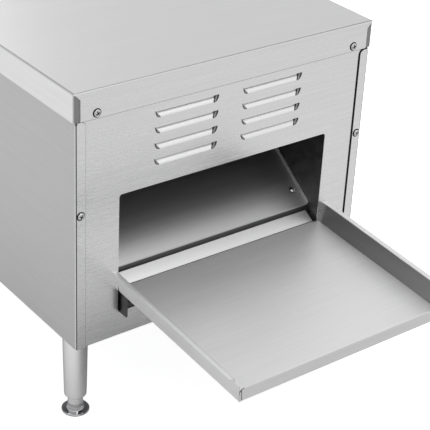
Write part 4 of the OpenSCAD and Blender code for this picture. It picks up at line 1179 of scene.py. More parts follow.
@dataclass
class Tray:
    """The hooked-on toast tray, worked flat and then tipped."""

    shell: Shell
    tilt: float = math.radians(3.9)
    half_top: float = 137 * MM
    flare: float = 3 * MM
    rim: float = 4.7 * MM
    height: float = 24.7 * MM
    length: float = 203.5 * MM
    front_height: float = 15.1 * MM
    front_corner: float = 6 * MM
    rim_cut: float = 7 * MM
    rim_drop: float = 4.7 * MM
    shift: float = 2.6 * MM
    back_y: float = 1.3 * MM
    rim_z: float = 78 * MM
    bend: float = 1.3 * MM
    ramp_length: float = 16 * MM
    ramp_rise: float = math.radians(27)
    hook_half: float = 129.1 * MM
    hook_round: float = 2 * MM
    stop_width: float = 4.4 * MM
    end_seam: tuple[float, float] = (3.3 * MM, 2.5 * MM)
    seam_ends: tuple[float, float] = (1.5 * MM, 1.4 * MM)
    end_gap: float = 0.6 * MM
    corner_zone: float = 12 * MM
    corner_foot: float = 2 * MM
    bend_least: float = 3 * MM
    bend_zone: float = 5 * MM
    wall_least: float = 5 * MM
    ramp_start: float = 3 * MM
    back_edge: float = 1 * MM
    bend_out: float = 1.6 * MM
    hook_side: float = 0.5 * MM
    hook_out: float = -11.2 * MM
    hook_back: float = 13.8 * MM
    hook_tip: float = 26.7 * MM
    hook_seat: float = 28.3 * MM
    hook_top: float = 54.5 * MM
    hook_lip: float = 12 * MM
    hook_peak: float = 5 * MM
    hook_fall: float = 1.4 * MM

    @property
    def low_half(self) -> float:
        """Half the floor's width."""
        return self.half_top - self.flare

    def build(self) -> None:
        """Folds the tray and hangs it in the opening."""
        work, t = Workpiece(), self.shell.sheet
        half = [(self.low_half, -self.height), (self.half_top, -t), (self.half_top + self.rim, -t)]
        path = [(-x, z) for x, z in half[::-1]] + half
        work.ribbon([Vector((x, -self.length, z)) for x, z in path], Y_AXIS * (self.length + self.back_edge))
        self._cut_rims(work)
        self._front(work)
        self._back(work)
        work.orient(-Z_AXIS)
        work.round_edges([e for e in work.folds() if e.calc_length() > self.bend_least], self.bend, 3)
        work.thicken(t)
        work.bm.normal_update()
        # The tray's faces get painted light and shade by the way that they face.
        work.stain("tray_wall_painted_light", lambda f: self._outwards(f) > 0.9)
        work.stain("tray_inner_painted_shade", lambda f: self._outwards(f) < -0.9)
        work.stain("tray_ramp_painted_light", self._on_ramp)
        work.stain("tray_under_painted_shade", lambda f: f.normal.z < -0.8)
        # Painted shade on the bend between floor and ramp and on the front wall's cut ends.
        work.stain("fold_painted_shade", lambda f: self._is_bend_line(f) or self._is_corner_seam(f))
        self._end_seams(work)
        everything = work.bm.verts[:]
        work.turned(everything, ZERO, X_AXIS, self.tilt)
        place = self.shell.at(self.shift, self.back_y, self.rim_z)
        bmesh.ops.translate(work.bm, vec=place, verts=everything)
        self._hooks(work)
        work.leave("tray_sheet", "tray_steel", "tray", "polished_stainless", ["toast_tray"], 0.12 * MM)

    def _outwards(self, face: BMFace) -> float:
        """How far a face looks away from the tray's middle line."""
        return face.normal.x * math.copysign(1, mid(face).x)

    def _on_floor(self, *points: Vector) -> bool:
        """Whether points lie on the floor."""
        return max(p.z for p in points) < -self.height + TOUCH

    def _end_edges(self, work: Workpiece, y: float, test: Callable[[Vector, Vector], bool]) -> list[BMEdge]:
        """The edges across one end of the sheet that pass a test.

        Args:
            work: The sheet.
            y: The end.
            test: The test of an edge's two ends.

        Returns:
            The edges.
        """
        return work.edges(lambda a, b: same(a.y, y) and same(b.y, y) and test(a, b))

    def _cut_rims(self, work: Workpiece) -> None:
        """Ends the rims short of the front, with the wall stepped down behind the front's corner."""
        front, step = -self.length + self.rim_cut, -self.rim_drop
        work.cut(Y_AXIS * front, Y_AXIS, lambda f: mid(f).z > -self.height + CLEAR)
        work.cut(Z_AXIS * step, Z_AXIS, lambda f: mid(f).y < front + SLACK)
        work.drop(lambda f: mid(f).y < front and mid(f).z > step)

    def _front(self, work: Workpiece) -> None:
        """Folds up the front wall and rounds its upper corners."""
        edge = self._end_edges(work, -self.length, self._on_floor)
        made = work.drawn(edge, Z_AXIS * self.front_height)
        lean = self.flare * self.front_height / self.height
        for v in made:
            v.co.x += math.copysign(lean - self.end_gap, v.co.x)
        work.round_corners(made, self.front_corner)

    def _back(self, work: Workpiece) -> None:
        """Folds the ramp up from the floor and the stop flanges out from the walls."""
        for side in SIDES:
            work.cut(X_AXIS * (side * self.hook_half - self.shift), X_AXIS,
                     lambda f: mid(f).z < -self.height + CLEAR)
        middle = self._end_edges(work, self.back_edge, lambda a, b: self._on_floor(a, b)
                                 and max(abs(a.x + self.shift), abs(b.x + self.shift))
                                 < self.hook_half + TOUCH)
        bend_out = work.drawn(middle, Y_AXIS * self.bend_out)
        edge = [e for e in {e for v in bend_out for e in v.link_edges}
                if e.verts[0] in bend_out and e.verts[1] in bend_out]
        rise = Vector((0, math.cos(self.ramp_rise), math.sin(self.ramp_rise))) * self.ramp_length
        work.drawn(edge, rise)
        for side in SIDES:
            wall = self._end_edges(work, self.back_edge, lambda a, b: self._on_wall(a, b, side))
            work.drawn(wall, X_AXIS * (side * self.stop_width))

    def _on_wall(self, one: Vector, other: Vector, side: int) -> bool:
        """Whether an edge runs up one of the side walls."""
        inner, outer = sorted((side * one.x, side * other.x))
        in_wall = inner > self.low_half - TOUCH and outer < self.half_top + TOUCH
        return in_wall and abs(one.z - other.z) > self.wall_least

    def _on_ramp(self, face: BMFace) -> bool:
        """Whether a face lies on the ramp."""
        return mid(face).y > self.ramp_start and abs(mid(face).x + self.shift) < self.hook_half

    def _is_bend_line(self, face: BMFace) -> bool:
        """Whether a face is in the bend between floor and ramp."""
        centre = mid(face)
        at_bend = between(centre.y, 0, self.bend_zone) and abs(centre.x + self.shift) < self.hook_half
        return at_bend and face.normal.z > 0.5 and -0.36 < face.normal.y < -0.1

    def _is_corner_seam(self, face: BMFace) -> bool:
        """Whether a face is a cut edge at the front wall's ends."""
        centre = mid(face)
        at_front = between(centre.y + self.length, -SLACK, self.shell.sheet + SLACK)
        at_end = abs(centre.x) > self.half_top - self.corner_zone
        above = centre.z > self.corner_foot - self.height
        return at_front and at_end and above and abs(face.normal.y) < 0.3 and face.normal.z > -0.5

    def _end_seams(self, work: Workpiece) -> None:
        """Draws painted shade along the joint between each side wall's turned end and the front wall, as a
        thin dark plate.
        """
        low, high = self.seam_ends[0], self.front_height - self.seam_ends[1]
        lean = self.flare / self.height
        far, near = self.end_seam
        for side in SIDES:
            corners = [Vector((side * (self.low_half + lean * up - inset), -self.length, up - self.height))
                       for inset, up in ((far, low), (near, low), (near, high), (far, high))]
            work.slab(corners, -Y_AXIS * LINE_HEIGHT, "fold_painted_shade")

    def _hooks(self, work: Workpiece) -> None:
        """Adds the two hook plates that hang in the opening's lower edge, near-black as painted shade."""
        out, back, seat, top = self.hook_out, self.hook_back, self.hook_seat, self.hook_top
        outline = [(out, self.hook_tip), (self.back_y, self.hook_tip), (self.back_y, seat), (back, seat),
                   (back, seat + self.hook_lip), (self.hook_peak, top), (out, top - self.hook_fall)]
        for side in SIDES:
            x = side * (self.hook_half + self.hook_side)
            tip = self.shell.at(x, out, self.hook_tip)
            work.slab([self.shell.at(x, y, z) for y, z in outline], X_AXIS * (-side * self.shell.sheet),
                      "hook_painted_shade", lambda p: (p - tip).length < TOUCH, self.hook_round)


@dataclass
class Chute:
    """The sloping sheet inside the opening."""

    shell: Shell
    half: float = 132.5 * MM
    nose_y: float = 21.5 * MM
    nose_z: float = 68.6 * MM
    slope: float = math.radians(36.5)
    flange: float = 6 * MM
    hem: float = 1.3 * MM
    lip: float = 7.6 * MM
    bend: float = 1.2 * MM
    back_gap: float = 3 * MM

    def build(self) -> None:
        """Folds the chute."""
        work, t = Workpiece(), self.shell.sheet
        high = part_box("toast_chute")[1]
        length = (high.y - self.shell.front - self.nose_y) / math.cos(self.slope) - self.back_gap
        path = [(-self.half, self.flange), (-self.half, 0), (self.half, 0), (self.half, self.flange)]
        work.ribbon([Vector((x, 0, z)) for x, z in path], Vector((0, length, 0)))
        work.cut(Vector((0, 0, self.flange - self.hem)), Z_AXIS)
        nose = work.edges(lambda a, b: max(a.y, b.y) < TOUCH and max(a.z, b.z) < TOUCH)
        down = Vector((0, -math.sin(self.slope), -math.cos(self.slope))) * self.lip
        work.drawn(nose, down)
        work.orient(-Z_AXIS)
        work.round_edges(work.folds(), self.bend, 3)
        work.thicken(t)
        work.bm.normal_update()
        # The lip gets painted shade, the side flanges painted light and their top edge a painted highlight.
        work.stain("chute_lip_painted_shade", lambda f: mid(f).z < -self.bend - SLACK)
        work.stain("chute_flange_painted_light", lambda f: abs(f.normal.x) > 0.9)
        work.stain("edge_painted_highlight", lambda f: mid(f).z > self.flange - self.hem)
        everything = work.bm.verts[:]
        work.turned(everything, ZERO, X_AXIS, self.slope)
        place = self.shell.at(0, self.nose_y, self.nose_z - t)
        bmesh.ops.translate(work.bm, vec=place, verts=everything)
        work.leave("chute_sheet", "chute_steel", "housing", "polished_stainless", ["toast_chute"], 0.12 * MM)


@dataclass
class Legs:
    """The four turned legs and their feet."""

    shell: Shell
    leg_profile: tuple[tuple[float, float], ...] = (
        (5.4, 10.4), (8.0, 10.4), (8.3, 10.8), (8.3, 17.9), (8.6, 18.3), (11.6, 20.9), (12.0, 21.6),
        (12.2, 27.0), (13.5, 101.5), (13.6, 102.9), (0.0, 102.9))
    foot_profile: tuple[tuple[float, float], ...] = (
        (0.0, 0.0), (14.4, 0.0), (15.0, 0.5), (15.15, 1.2), (15.0, 2.0), (14.5, 2.5), (9.4, 2.7),
        (8.8, 3.0), (8.7, 6.2), (8.5, 6.6), (8.2, 6.8), (8.15, 9.5), (7.9, 9.9), (5.0, 10.0), (5.0, 36.0),
        (0.0, 36.0))

    def build(self) -> None:
        """Turns each leg and each foot where its node stands."""
        for place in ("discharge_left", "discharge_right", "feed_left", "feed_right"):
            low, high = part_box(f"leg_{place}")
            foot = Vector(((low.x + high.x) / 2, (low.y + high.y) / 2, 0))
            self._turn(f"leg_{place}_turned", self.leg_profile, foot, "leg_steel", "housing",
                       "leg_steel", f"leg_{place}")
            self._turn(f"foot_{place}_turned", self.foot_profile, foot, "foot_chrome", self._foot_body(place),
                       "foot_chrome", f"foot_{place}")

    def _foot_body(self, place: str) -> str:
        """The body that holds a foot."""
        node = f"foot_{place}"
        return next(body for body, nodes in frame["record"]["behaviour"]["bodies"].items() if node in nodes)

    def _turn(self, name: str, profile: Sequence[tuple[float, float]], foot: Vector, finish: str,
              body: str, slot: str, node: str) -> None:
        """Turns one part.

        Args:
            name: The piece's name.
            profile: Radius and height of each point, in millimetres.
            foot: The axis's lowest point.
            finish: The finish.
            body: The body that it rides on.
            slot: The record's material slot.
            node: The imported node.
        """
        work = Workpiece()
        work.spun([(r * MM, z * MM) for r, z in profile], foot)
        work.leave(name, finish, body, slot, [node], 0)


@dataclass
class Screw:
    """A pan-head screw with a cross recess."""

    radius: float = 3.8 * MM
    height: float = 2.3 * MM
    cells: int = 7
    recess: float = 1.3 * MM
    shadow: float = 1.26
    taper: float = 0.8
    brim: float = 0.45
    bulge: float = 2.6
    sunk_share: float = 0.62
    sunk_depth: float = 0.4 * MM
    side_share: float = 0.2

    def add(self, work: Workpiece, seat: Vector, outwards: Vector, turn: float) -> None:
        """Adds one head.

        Args:
            work: The workpiece that collects the heads.
            seat: The middle of the seat.
            outwards: The way that the head faces.
            turn: Turn of its recess, in radians.
        """
        made = bmesh.ops.create_grid(work.bm, x_segments=self.cells, y_segments=self.cells, size=1.0)["verts"]
        slot = [f for f in {f for v in made for f in v.link_faces} if self._in_cross(mid(f))]
        for v in made:
            v.co = self._on_dome(v.co)
        sunk = bmesh.ops.extrude_face_region(work.bm, geom=slot)["geom"]
        bottom = [g for g in sunk if isinstance(g, BMVert)]
        bmesh.ops.delete(work.bm, geom=[f for f in slot if f.is_valid], context="FACES_ONLY")
        bmesh.ops.scale(work.bm, vec=(self.taper, self.taper, 1), verts=bottom)
        bmesh.ops.translate(work.bm, vec=(0, 0, -self.recess), verts=bottom)
        skirt = self._hemmed(work, made)
        for v in skirt:
            v.co.z = 0
        # A thin ring round the seat, a painted shadow.
        ring = self._hemmed(work, skirt)
        for v in ring:
            v.co = Vector((v.co.x * self.shadow, v.co.y * self.shadow, LINE_HEIGHT))
        everything = [v for v in (*made, *bottom, *skirt, *ring) if v.is_valid]
        self._darken(work, {f for v in everything for f in v.link_faces})
        spin = Matrix.Rotation(turn, 4, "Z")
        aim = Z_AXIS.rotation_difference(outwards).to_matrix().to_4x4()
        bmesh.ops.transform(work.bm, matrix=Matrix.Translation(seat) @ aim @ spin, verts=everything)

    def _hemmed(self, work: Workpiece, verts: Iterable[BMVert]) -> list[BMVert]:
        """Draws the open rim of some corners out, and returns the new corners."""
        return work.drawn({e for v in verts for e in v.link_edges if len(e.link_faces) == 1})

    def _darken(self, work: Workpiece, faces: Iterable[BMFace]) -> None:
        """Paints shade on the recess and the head's side, and makes the ring round its seat a painted shadow.

        Args:
            work: The workpiece that collects the heads.
            faces: The head's faces.
        """
        for face in faces:
            face.normal_update()
            centre = mid(face)
            inside = math.hypot(centre.x, centre.y) < self.sunk_share * self.radius
            sunk = inside and centre.z < self.height - self.sunk_depth
            if sunk or centre.z < self.side_share * self.height or abs(face.normal.z) < 0.2:
                face.material_index = work.slot_of("edge_painted_shade")

    def _in_cross(self, centre: Vector) -> bool:
        """Whether a cell of the flat grid belongs to the recess."""
        cell = 2.0 / self.cells
        across, along = sorted((abs(centre.x), abs(centre.y)))
        return across < cell / 2 and along < cell * 2.5

    def _on_dome(self, flat: Vector) -> Vector:
        """Maps a point of the square grid onto the round, domed head.

        Args:
            flat: The point, each way from -1 to 1.

        Returns:
            Its place on the head.
        """
        x = flat.x * math.sqrt(max(0.0, 1 - flat.y ** 2 / 2))
        y = flat.y * math.sqrt(max(0.0, 1 - flat.x ** 2 / 2))
        out = min(1.0, math.hypot(x, y))
        rise = self.brim + (1 - self.brim) * math.sqrt(max(0.0, 1 - out ** self.bulge))
        return Vector((x * self.radius, y * self.radius, self.height * rise))


Seat = tuple[Vector, Vector]
Place = tuple[float, float, float]


@dataclass
class Fasteners:
    """Every screw head, collected by the node that it stands for."""

    shell: Shell
    turns: tuple[float, ...] = (0.4, 1.1, 0.1, 0.8, 1.35, 0.6, 0.25, 0.95)
    cover_seat: tuple[float, float] = (159.5 * MM, 259.6 * MM)
    flange_seat: tuple[float, float] = (177.1 * MM, 154 * MM)
    flange_set: float = 0.4 * MM
    side_seat: tuple[float, float] = (183 * MM, 8.5 * MM)
    side_along: tuple[float, float] = (209 * MM, 348 * MM)
    # Each group's centre and the ways from it to its seats, in millimetres, and how its heads face.
    machine: tuple[tuple[Place, Place, Place, Vector], ...] = (
        ((-153.4, 417.4, 139), (11, 0, 0), (0, 0, 97), Y_AXIS),
        ((0, 418.4, 199), (103, 0, 0), (0, 0, 0), Y_AXIS),
        ((60, 320, 26.4), (35.75, 0, 0), (0, 35.75, 0), Z_AXIS),
        ((-102.3, 240, 2.9), (0, 20, 0), (0, 0, 0), Z_AXIS),
        ((-128.8, 240, 72), (0, 21, 0), (0, 0, 21), -X_AXIS))
    chute_x: float = 124 * MM
    chute_along: tuple[float, float] = (20.5 * MM, 137.3 * MM)

    def build(self) -> None:
        """Makes the heads of all screws."""
        self._make("cover_screws", "panel_screws", self._on_shell(), Screw())
        self._make("inner_screws", "machine_screws", self._on_machine(), Screw())
        self._make("chute_heads", "chute_screws", self._on_chute(), Screw(radius=3.4 * MM))

    def _make(self, name: str, node: str, seats: Sequence[Seat], screw: Screw) -> None:
        """Makes the heads of one node.

        Args:
            name: The piece's name.
            node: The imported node.
            seats: The place of each head, and the way that it faces.
            screw: The kind of screw.
        """
        work = Workpiece()
        for index, (seat, out) in enumerate(seats):
            screw.add(work, seat, out, self.turns[index % len(self.turns)])
        work.leave(name, "screw_steel", "housing", "screw_steel", [node], 0.08 * MM)

    def _on_shell(self) -> list[Seat]:
        """The seats on the cover and the side panels."""
        at, seats = self.shell.at, []
        (cover_x, cover_z), (flange_x, flange_z) = self.cover_seat, self.flange_seat
        for side in SIDES:
            for end, out in ((0.0, -1), (self.shell.back - self.shell.front, 1)):
                seats.append((at(side * cover_x, end, cover_z), Y_AXIS * out))
                seats.append((at(side * flange_x, end - out * self.flange_set, flange_z), Y_AXIS * out))
            for along in self.side_along:
                seats.append((at(side * self.side_seat[0], along, self.side_seat[1]), X_AXIS * side))
        return seats

    def _on_machine(self) -> list[Seat]:
        """The seats of the control plate, the rack's brackets, the fan, the speed board and the motor."""
        seats = []
        for centre, first, second, out in self.machine:
            for one in SIDES:
                for other in SIDES if any(second) else (0,):
                    place = Vector(centre) + Vector(first) * one + Vector(second) * other
                    seats.append((self.shell.at(*(place * MM)), out))
        return seats

    def _on_chute(self) -> list[Seat]:
        """The seats on the chute's slope."""
        chute = Chute(self.shell)
        run, rise = math.cos(chute.slope), math.sin(chute.slope)
        return [(self.shell.at(side * self.chute_x, chute.nose_y + along * run, chute.nose_z + along * rise),
                 Vector((0, -rise, run)))
                for side in SIDES for along in self.chute_along]


@dataclass
class Controls:
    """The control plate with its dials, knobs and lamps."""

    shell: Shell
    x: float = -153.4 * MM
    face: float = 417.4 * MM
    half_width: float = 17 * MM
    low: float = 36 * MM
    high: float = 242 * MM
    speed_z: float = 166 * MM
    heat_z: float = 118 * MM
    rocker_z: float = 66 * MM
    lamp_z: tuple[float, float] = (222 * MM, 202 * MM)
    mark_size: float = 3.0 * MM
    mark_radius: float = 15.5 * MM
    mark_step: float = 1.2 * MM
    print_lift: float = 0.02 * MM
    print_depth: float = 0.03 * MM
    corner: float = 3 * MM
    dial_hole: float = 5.1 * MM
    rocker_hole: tuple[float, float] = (6.7 * MM, 10.7 * MM)
    lamp_hole: float = 4.2 * MM
    knob_set: float = 0.6 * MM
    flutes: int = 16
    flute_depth: float = 0.035
    flute_radii: tuple[float, float] = (9.0 * MM, 10.5 * MM)
    flute_heights: tuple[float, float] = (3.8 * MM, 14.5 * MM)

    def build(self) -> None:
        """Makes the plate, its print, the knobs and the lamps."""
        self._plate()
        self._print()
        self._knob("speed_knob", "speed_dial", self.speed_z)
        self._knob("heat_knob", "heat_dial", self.heat_z)
        self._lamps()

    def _plate(self) -> None:
        """Cuts the plate with round corners and holes behind its controls."""
        work, at = Workpiece(), self.shell.at
        left, right = self.x - self.half_width, self.x + self.half_width
        corners = [(left, self.low), (right, self.low), (right, self.high), (left, self.high)]
        work.plate(at(x, self.face, z) for x, z in corners)
        work.round_corners(work.bm.verts[:], self.corner)
        holes = [(self.dial_hole, self.dial_hole, z) for z in (self.speed_z, self.heat_z)]
        holes += [(*self.rocker_hole, self.rocker_z)]
        holes += [(self.lamp_hole, self.lamp_hole, z) for z in self.lamp_z]
        for wide, tall, z in holes:
            for side in SIDES:
                work.cut(at(self.x + side * wide, 0, 0), X_AXIS)
                work.cut(at(0, 0, z + side * tall), Z_AXIS)
        for wide, tall, z in holes:
            self._punch(work, at(self.x, self.face, z), wide, tall)
        work.orient(Y_AXIS)
        work.thicken(self.shell.sheet)
        work.leave("control_plate", "control_black", "housing", "control_black", ["control_panel"], 0.25 * MM)

    def _punch(self, work: Workpiece, spot: Vector, wide: float, tall: float) -> None:
        """Takes a hole out of the scored plate.

        Args:
            work: The plate.
            spot: The hole's middle.
            wide: Half its width.
            tall: Half its height.
        """
        work.drop(lambda f: abs(mid(f).x - spot.x) < wide and abs(mid(f).z - spot.z) < tall)

    def _print(self) -> None:
        """Prints plain numbers round the dials."""
        work = Workpiece()
        for z, marks, sweep in ((self.speed_z, "12345678", 270), (self.heat_z, "0123", 180)):
            for index, mark in enumerate(marks):
                turn = math.radians(sweep * index / (len(marks) - 1))
                self._mark(work, mark, z, turn)
        work.leave("dial_marks", "print_white", "housing", "ceramic_white", (), 0)

    def _mark(self, work: Workpiece, mark: str, z: float, turn: float) -> None:
        """Prints one number.

        Args:
            work: The print.
            mark: The number.
            z: The height of the dial's middle.
            turn: The number's place round the dial, from the top, in radians.
        """
        out = Vector((-math.sin(turn), 0, math.cos(turn)))
        reach = self.mark_radius if abs(out.x) > 0.5 else self.mark_radius + self.mark_step
        spot = self.shell.at(self.x, self.face + self.print_lift, z) + out * reach
        curve = bpy.data.curves.new("mark", "FONT")
        curve.body = mark
        curve.size = self.mark_size
        curve.align_x = "CENTER"
        curve.align_y = "CENTER"
        curve.extrude = self.print_depth
        text = bpy.data.objects.new("mark", curve)
        mesh = bpy.data.meshes.new_from_object(text)
        before = set(work.bm.verts)
        work.bm.from_mesh(mesh)
        made = [v for v in work.bm.verts if v not in before]
        upright = Matrix(((-1, 0, 0), (0, 0, 1), (0, 1, 0))).to_4x4()
        bmesh.ops.transform(work.bm, matrix=Matrix.Translation(spot) @ upright, verts=made)
        bpy.data.objects.remove(text)
        bpy.data.curves.remove(curve)
        bpy.data.meshes.remove(mesh)

    def _knob(self, name: str, body: str, z: float) -> None:
        """Turns a fluted knob with its skirt, pointer rib and spindle.

        Args:
            name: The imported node.
            body: The body that it rides on.
            z: The height of its middle.
        """
        work = Workpiece()
        foot = self.shell.at(self.x, self.face + self.knob_set, z)
        profile = [(0, 7), (8, 5), (8, 0.3), (12.6, 0.3), (13.0, 0), (13.8, 0.1), (14, 0.5), (13.9, 2.3),
                   (13.3, 2.9), (11.2, 3.2), (10.4, 3.9), (10.2, 5), (9.6, 13.2), (9.2, 14.4), (8.4, 15),
                   (6.5, 15.1), (6.1, 14.8), (0, 14.7)]
        made = work.spun([(r * MM, h * MM) for r, h in profile], foot, 96)
        (inner, outer), (low, high) = self.flute_radii, self.flute_heights
        for v in made:
            local = v.co - foot
            if inner < math.hypot(local.x, local.y) < outer and low < local.z < high:
                wave = math.cos(self.flutes * math.atan2(local.y, local.x))
                dip = 1 - self.flute_depth * (0.5 + 0.5 * wave)
                v.co.x, v.co.y = foot.x + local.x * dip, foot.y + local.y * dip
        made += work.block(foot + Vector((-1.4, -11.0, 3.0)) * MM, foot + Vector((1.4, -1.0, 15.7)) * MM)
        spindle = work.spun([(0, -11 * MM), (3 * MM, -11 * MM), (3 * MM, 7.2 * MM), (0, 7.2 * MM)], foot)
        work.turned([*made, *spindle], foot, X_AXIS, -math.pi / 2)
        work.leave(f"{name}_moulded", "knob_black", body, "knob_black", [name], 0.2 * MM)
        line = Workpiece()
        strip = line.block(foot + Vector((-0.45, -11.05, 3.4)) * MM, foot + Vector((0.45, -3.0, 15.75)) * MM)
        line.turned(strip, foot, X_AXIS, -math.pi / 2)
        line.leave(f"{name}_pointer", "print_white", body, "ceramic_white", (), 0)

    def _lamps(self) -> None:
        """Turns the lenses and their bezels."""
        lens, bezel = Workpiece(), Workpiece()
        for z in self.lamp_z:
            foot = self.shell.at(self.x, self.face, z)
            dome = [(0, -18), (3.9, -18), (3.9, 1.0), (4.3, 1.2), (4.3, 2.2), (3.7, 3.3), (2.4, 3.9),
                    (0, 4.1)]
            made = lens.spun([(r * MM, h * MM) for r, h in dome], foot)
            lens.turned(made, foot, X_AXIS, -math.pi / 2)
            ring = [(4.4, 0), (6, 0), (6, 0.9), (5.6, 1.5), (4.9, 1.6), (4.4, 1.2), (4.4, 0)]
            made = bezel.spun([(r * MM, h * MM) for r, h in ring], foot)
            bezel.turned(made, foot, X_AXIS, -math.pi / 2)
        lens.leave("lamp_lenses", "lamp_amber", "housing", "lamp_amber", ["indicator_lamps"], 0)
        bezel.leave("lamp_bezels", "screw_steel", "housing", "screw_steel", (), 0)


@dataclass
class CrumbTray:
    """The folded crumb tray with its front plate and pull."""

    shell: Shell
    half: float = 127.2 * MM
    back: float = 168 * MM
    low: float = 160 * MM
    height: float = 15 * MM
    face: float = 416.7 * MM
    pull: float = 42 * MM
    pull_depth: float = 16 * MM
    pull_lip: float = 5 * MM
    pull_gap: float = 0.05 * MM
    pull_bend: float = 1.0 * MM
    bend: float = 1.2 * MM
    corner: float = 2.5 * MM
    rim_zone: float = 3 * MM
    plate_over: float = 4 * MM
    plate_under: float = 8 * MM
    plate_height: float = 27 * MM

    def build(self) -> None:
        """Folds the pan, the plate and the pull."""
        work, at, t = Workpiece(), self.shell.at, self.shell.sheet
        work.block(at(-self.half, self.back, self.low), at(self.half, self.face, self.low + self.height))
        work.bm.normal_update()
        work.drop(lambda f: f.normal.z > 0.9 or f.normal.y > 0.9)
        work.round_edges(work.folds(), self.bend, 3)
        work.orient(-Z_AXIS)
        work.thicken(t)
        outer, bottom = self.half + self.plate_over, self.low - self.plate_under
        plate = self._plate(outer, bottom)
        work.bm.from_mesh(plate)
        bpy.data.meshes.remove(plate)
        work.bm.normal_update()
        # Painted shade on the cut edge round the front plate.
        work.stain("edge_painted_shade", lambda f: self._is_rim(f, outer, bottom))
        work.leave("crumb_sheet", "tray_steel", "crumbs", "polished_stainless", ["crumb_tray"], 0.12 * MM)

    def _plate(self, outer: float, bottom: float) -> bpy.types.Mesh:
        """Cuts the front plate and folds its pull.

        Args:
            outer: Half the plate's width.
            bottom: Its lower edge.

        Returns:
            The plate's mesh.
        """
        work, at, t = Workpiece(), self.shell.at, self.shell.sheet
        top, out = bottom + self.plate_height, self.face + self.pull_depth
        corners = [(-outer, bottom), (outer, bottom), (outer, top), (-outer, top)]
        work.plate(at(x, self.face + t, z) for x, z in corners)
        work.round_corners(work.bm.verts[:], self.corner, 4)
        path = [at(-self.pull, self.face + t, bottom + self.pull_gap), at(-self.pull, out, bottom),
                at(-self.pull, out, bottom + self.pull_lip)]
        work.ribbon(path, Vector((2 * self.pull, 0, 0)))
        work.round_edges(work.folds(), self.pull_bend, 3)
        work.orient(Y_AXIS)
        work.thicken(t)
        return work.pressed("plate")

    def _is_rim(self, face: BMFace, outer: float, bottom: float) -> bool:
        """Whether a face is the cut edge round the front plate."""
        centre, start = mid(face), self.shell.front + self.face
        at_face = between(centre.y, start, start + self.shell.sheet) and abs(face.normal.y) < 0.3
        high = centre.z > self.shell.base + bottom + self.plate_height - self.rim_zone
        return at_face and (high or abs(centre.x) > outer - self.rim_zone)


@dataclass
class Gland:
    """The moulded cable gland in the discharge panel's lower corner."""

    shell: Shell
    x: float = 157 * MM
    z: float = 27 * MM
    seat: float = 1.6 * MM
    bore: float = 7.6 * MM
    across: float = 11 * MM
    nuts: tuple[tuple[float, float], ...] = ((0.0, 4 * MM), (-5 * MM, -1 * MM))

    def build(self) -> None:
        """Turns the dome nut and adds the six-sided nuts."""
        work = Workpiece()
        foot = self.shell.at(self.x, self.seat, self.z)
        dome = [(3.6, -15.4), (8, -15.4), (8, 4.2), (7.6, 5.4), (6.4, 6.4), (4.4, 6.6), (3.6, 6.2),
                (3.6, -15.4)]
        made = work.spun([(r * MM, h * MM) for r, h in dome], foot)
        for low, high in self.nuts:
            nut = [(self.bore, low), (self.across, low), (self.across, high), (self.bore, high),
                   (self.bore, low)]
            made += work.spun(nut, foot, 6)
        work.turned(made, foot, X_AXIS, math.pi / 2)
        work.leave("gland_moulded", "control_black", "housing", "knob_black", ["cable_gland"], 0.3 * MM)


KEPT = {
    "galvanised": ("base_plate", "chamber_left_wall", "crumb_tray_runners", "motor_bracket", "rack_brackets"),
    "dark_liner": ("chamber_right_wall", "toast_deflector", "chute_brackets"),
    "tray_steel": ("upper_reflector", "lower_reflector"),
    # The chamber floor is painted light.
    "chamber_painted_light": ("chamber_floor",),
    "panel_steel": ("feed_panel",),
    "control_black": ("power_switch_body",),
    "knob_black": ("power_rocker",),
    "screw_steel": ("leg_nuts", "speed_potentiometer", "thermal_cutout"),
    "wire_steel": ("conveyor_belt", "drive_shaft", "idler_shaft", "motor_shaft", "feed_rack"),
    "sprocket_steel": ("drive_belt_sprockets", "idler_belt_sprockets", "shaft_sprocket", "motor_sprocket"),
    "chain_steel": ("drive_chain",),
    "bronze_bush": ("shaft_bushes",),
    "quartz": ("upper_elements", "lower_elements"),
    "ceramic_white": ("element_insulators", "heat_selector"),
    "motor_paint": ("gear_motor",),
    "fan_plastic": ("fan_frame", "fan_impeller"),
    "board_green": ("speed_board",),
    "terminal_cream": ("terminal_block",),
}


def dress_kept_nodes() -> None:
    """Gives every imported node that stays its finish."""
    for finish, nodes in KEPT.items():
        for name in nodes:
            slots = frame["nodes"][name].data.materials
            slots.clear()
            slots.append(material(finish))


# ---- Studio ----


@dataclass(frozen=True)
class SoftBox:
    """A square lamp: its name, its middle, its side in metres and its power in watts."""

    name: str
    place: Place
    size: float
    power: float


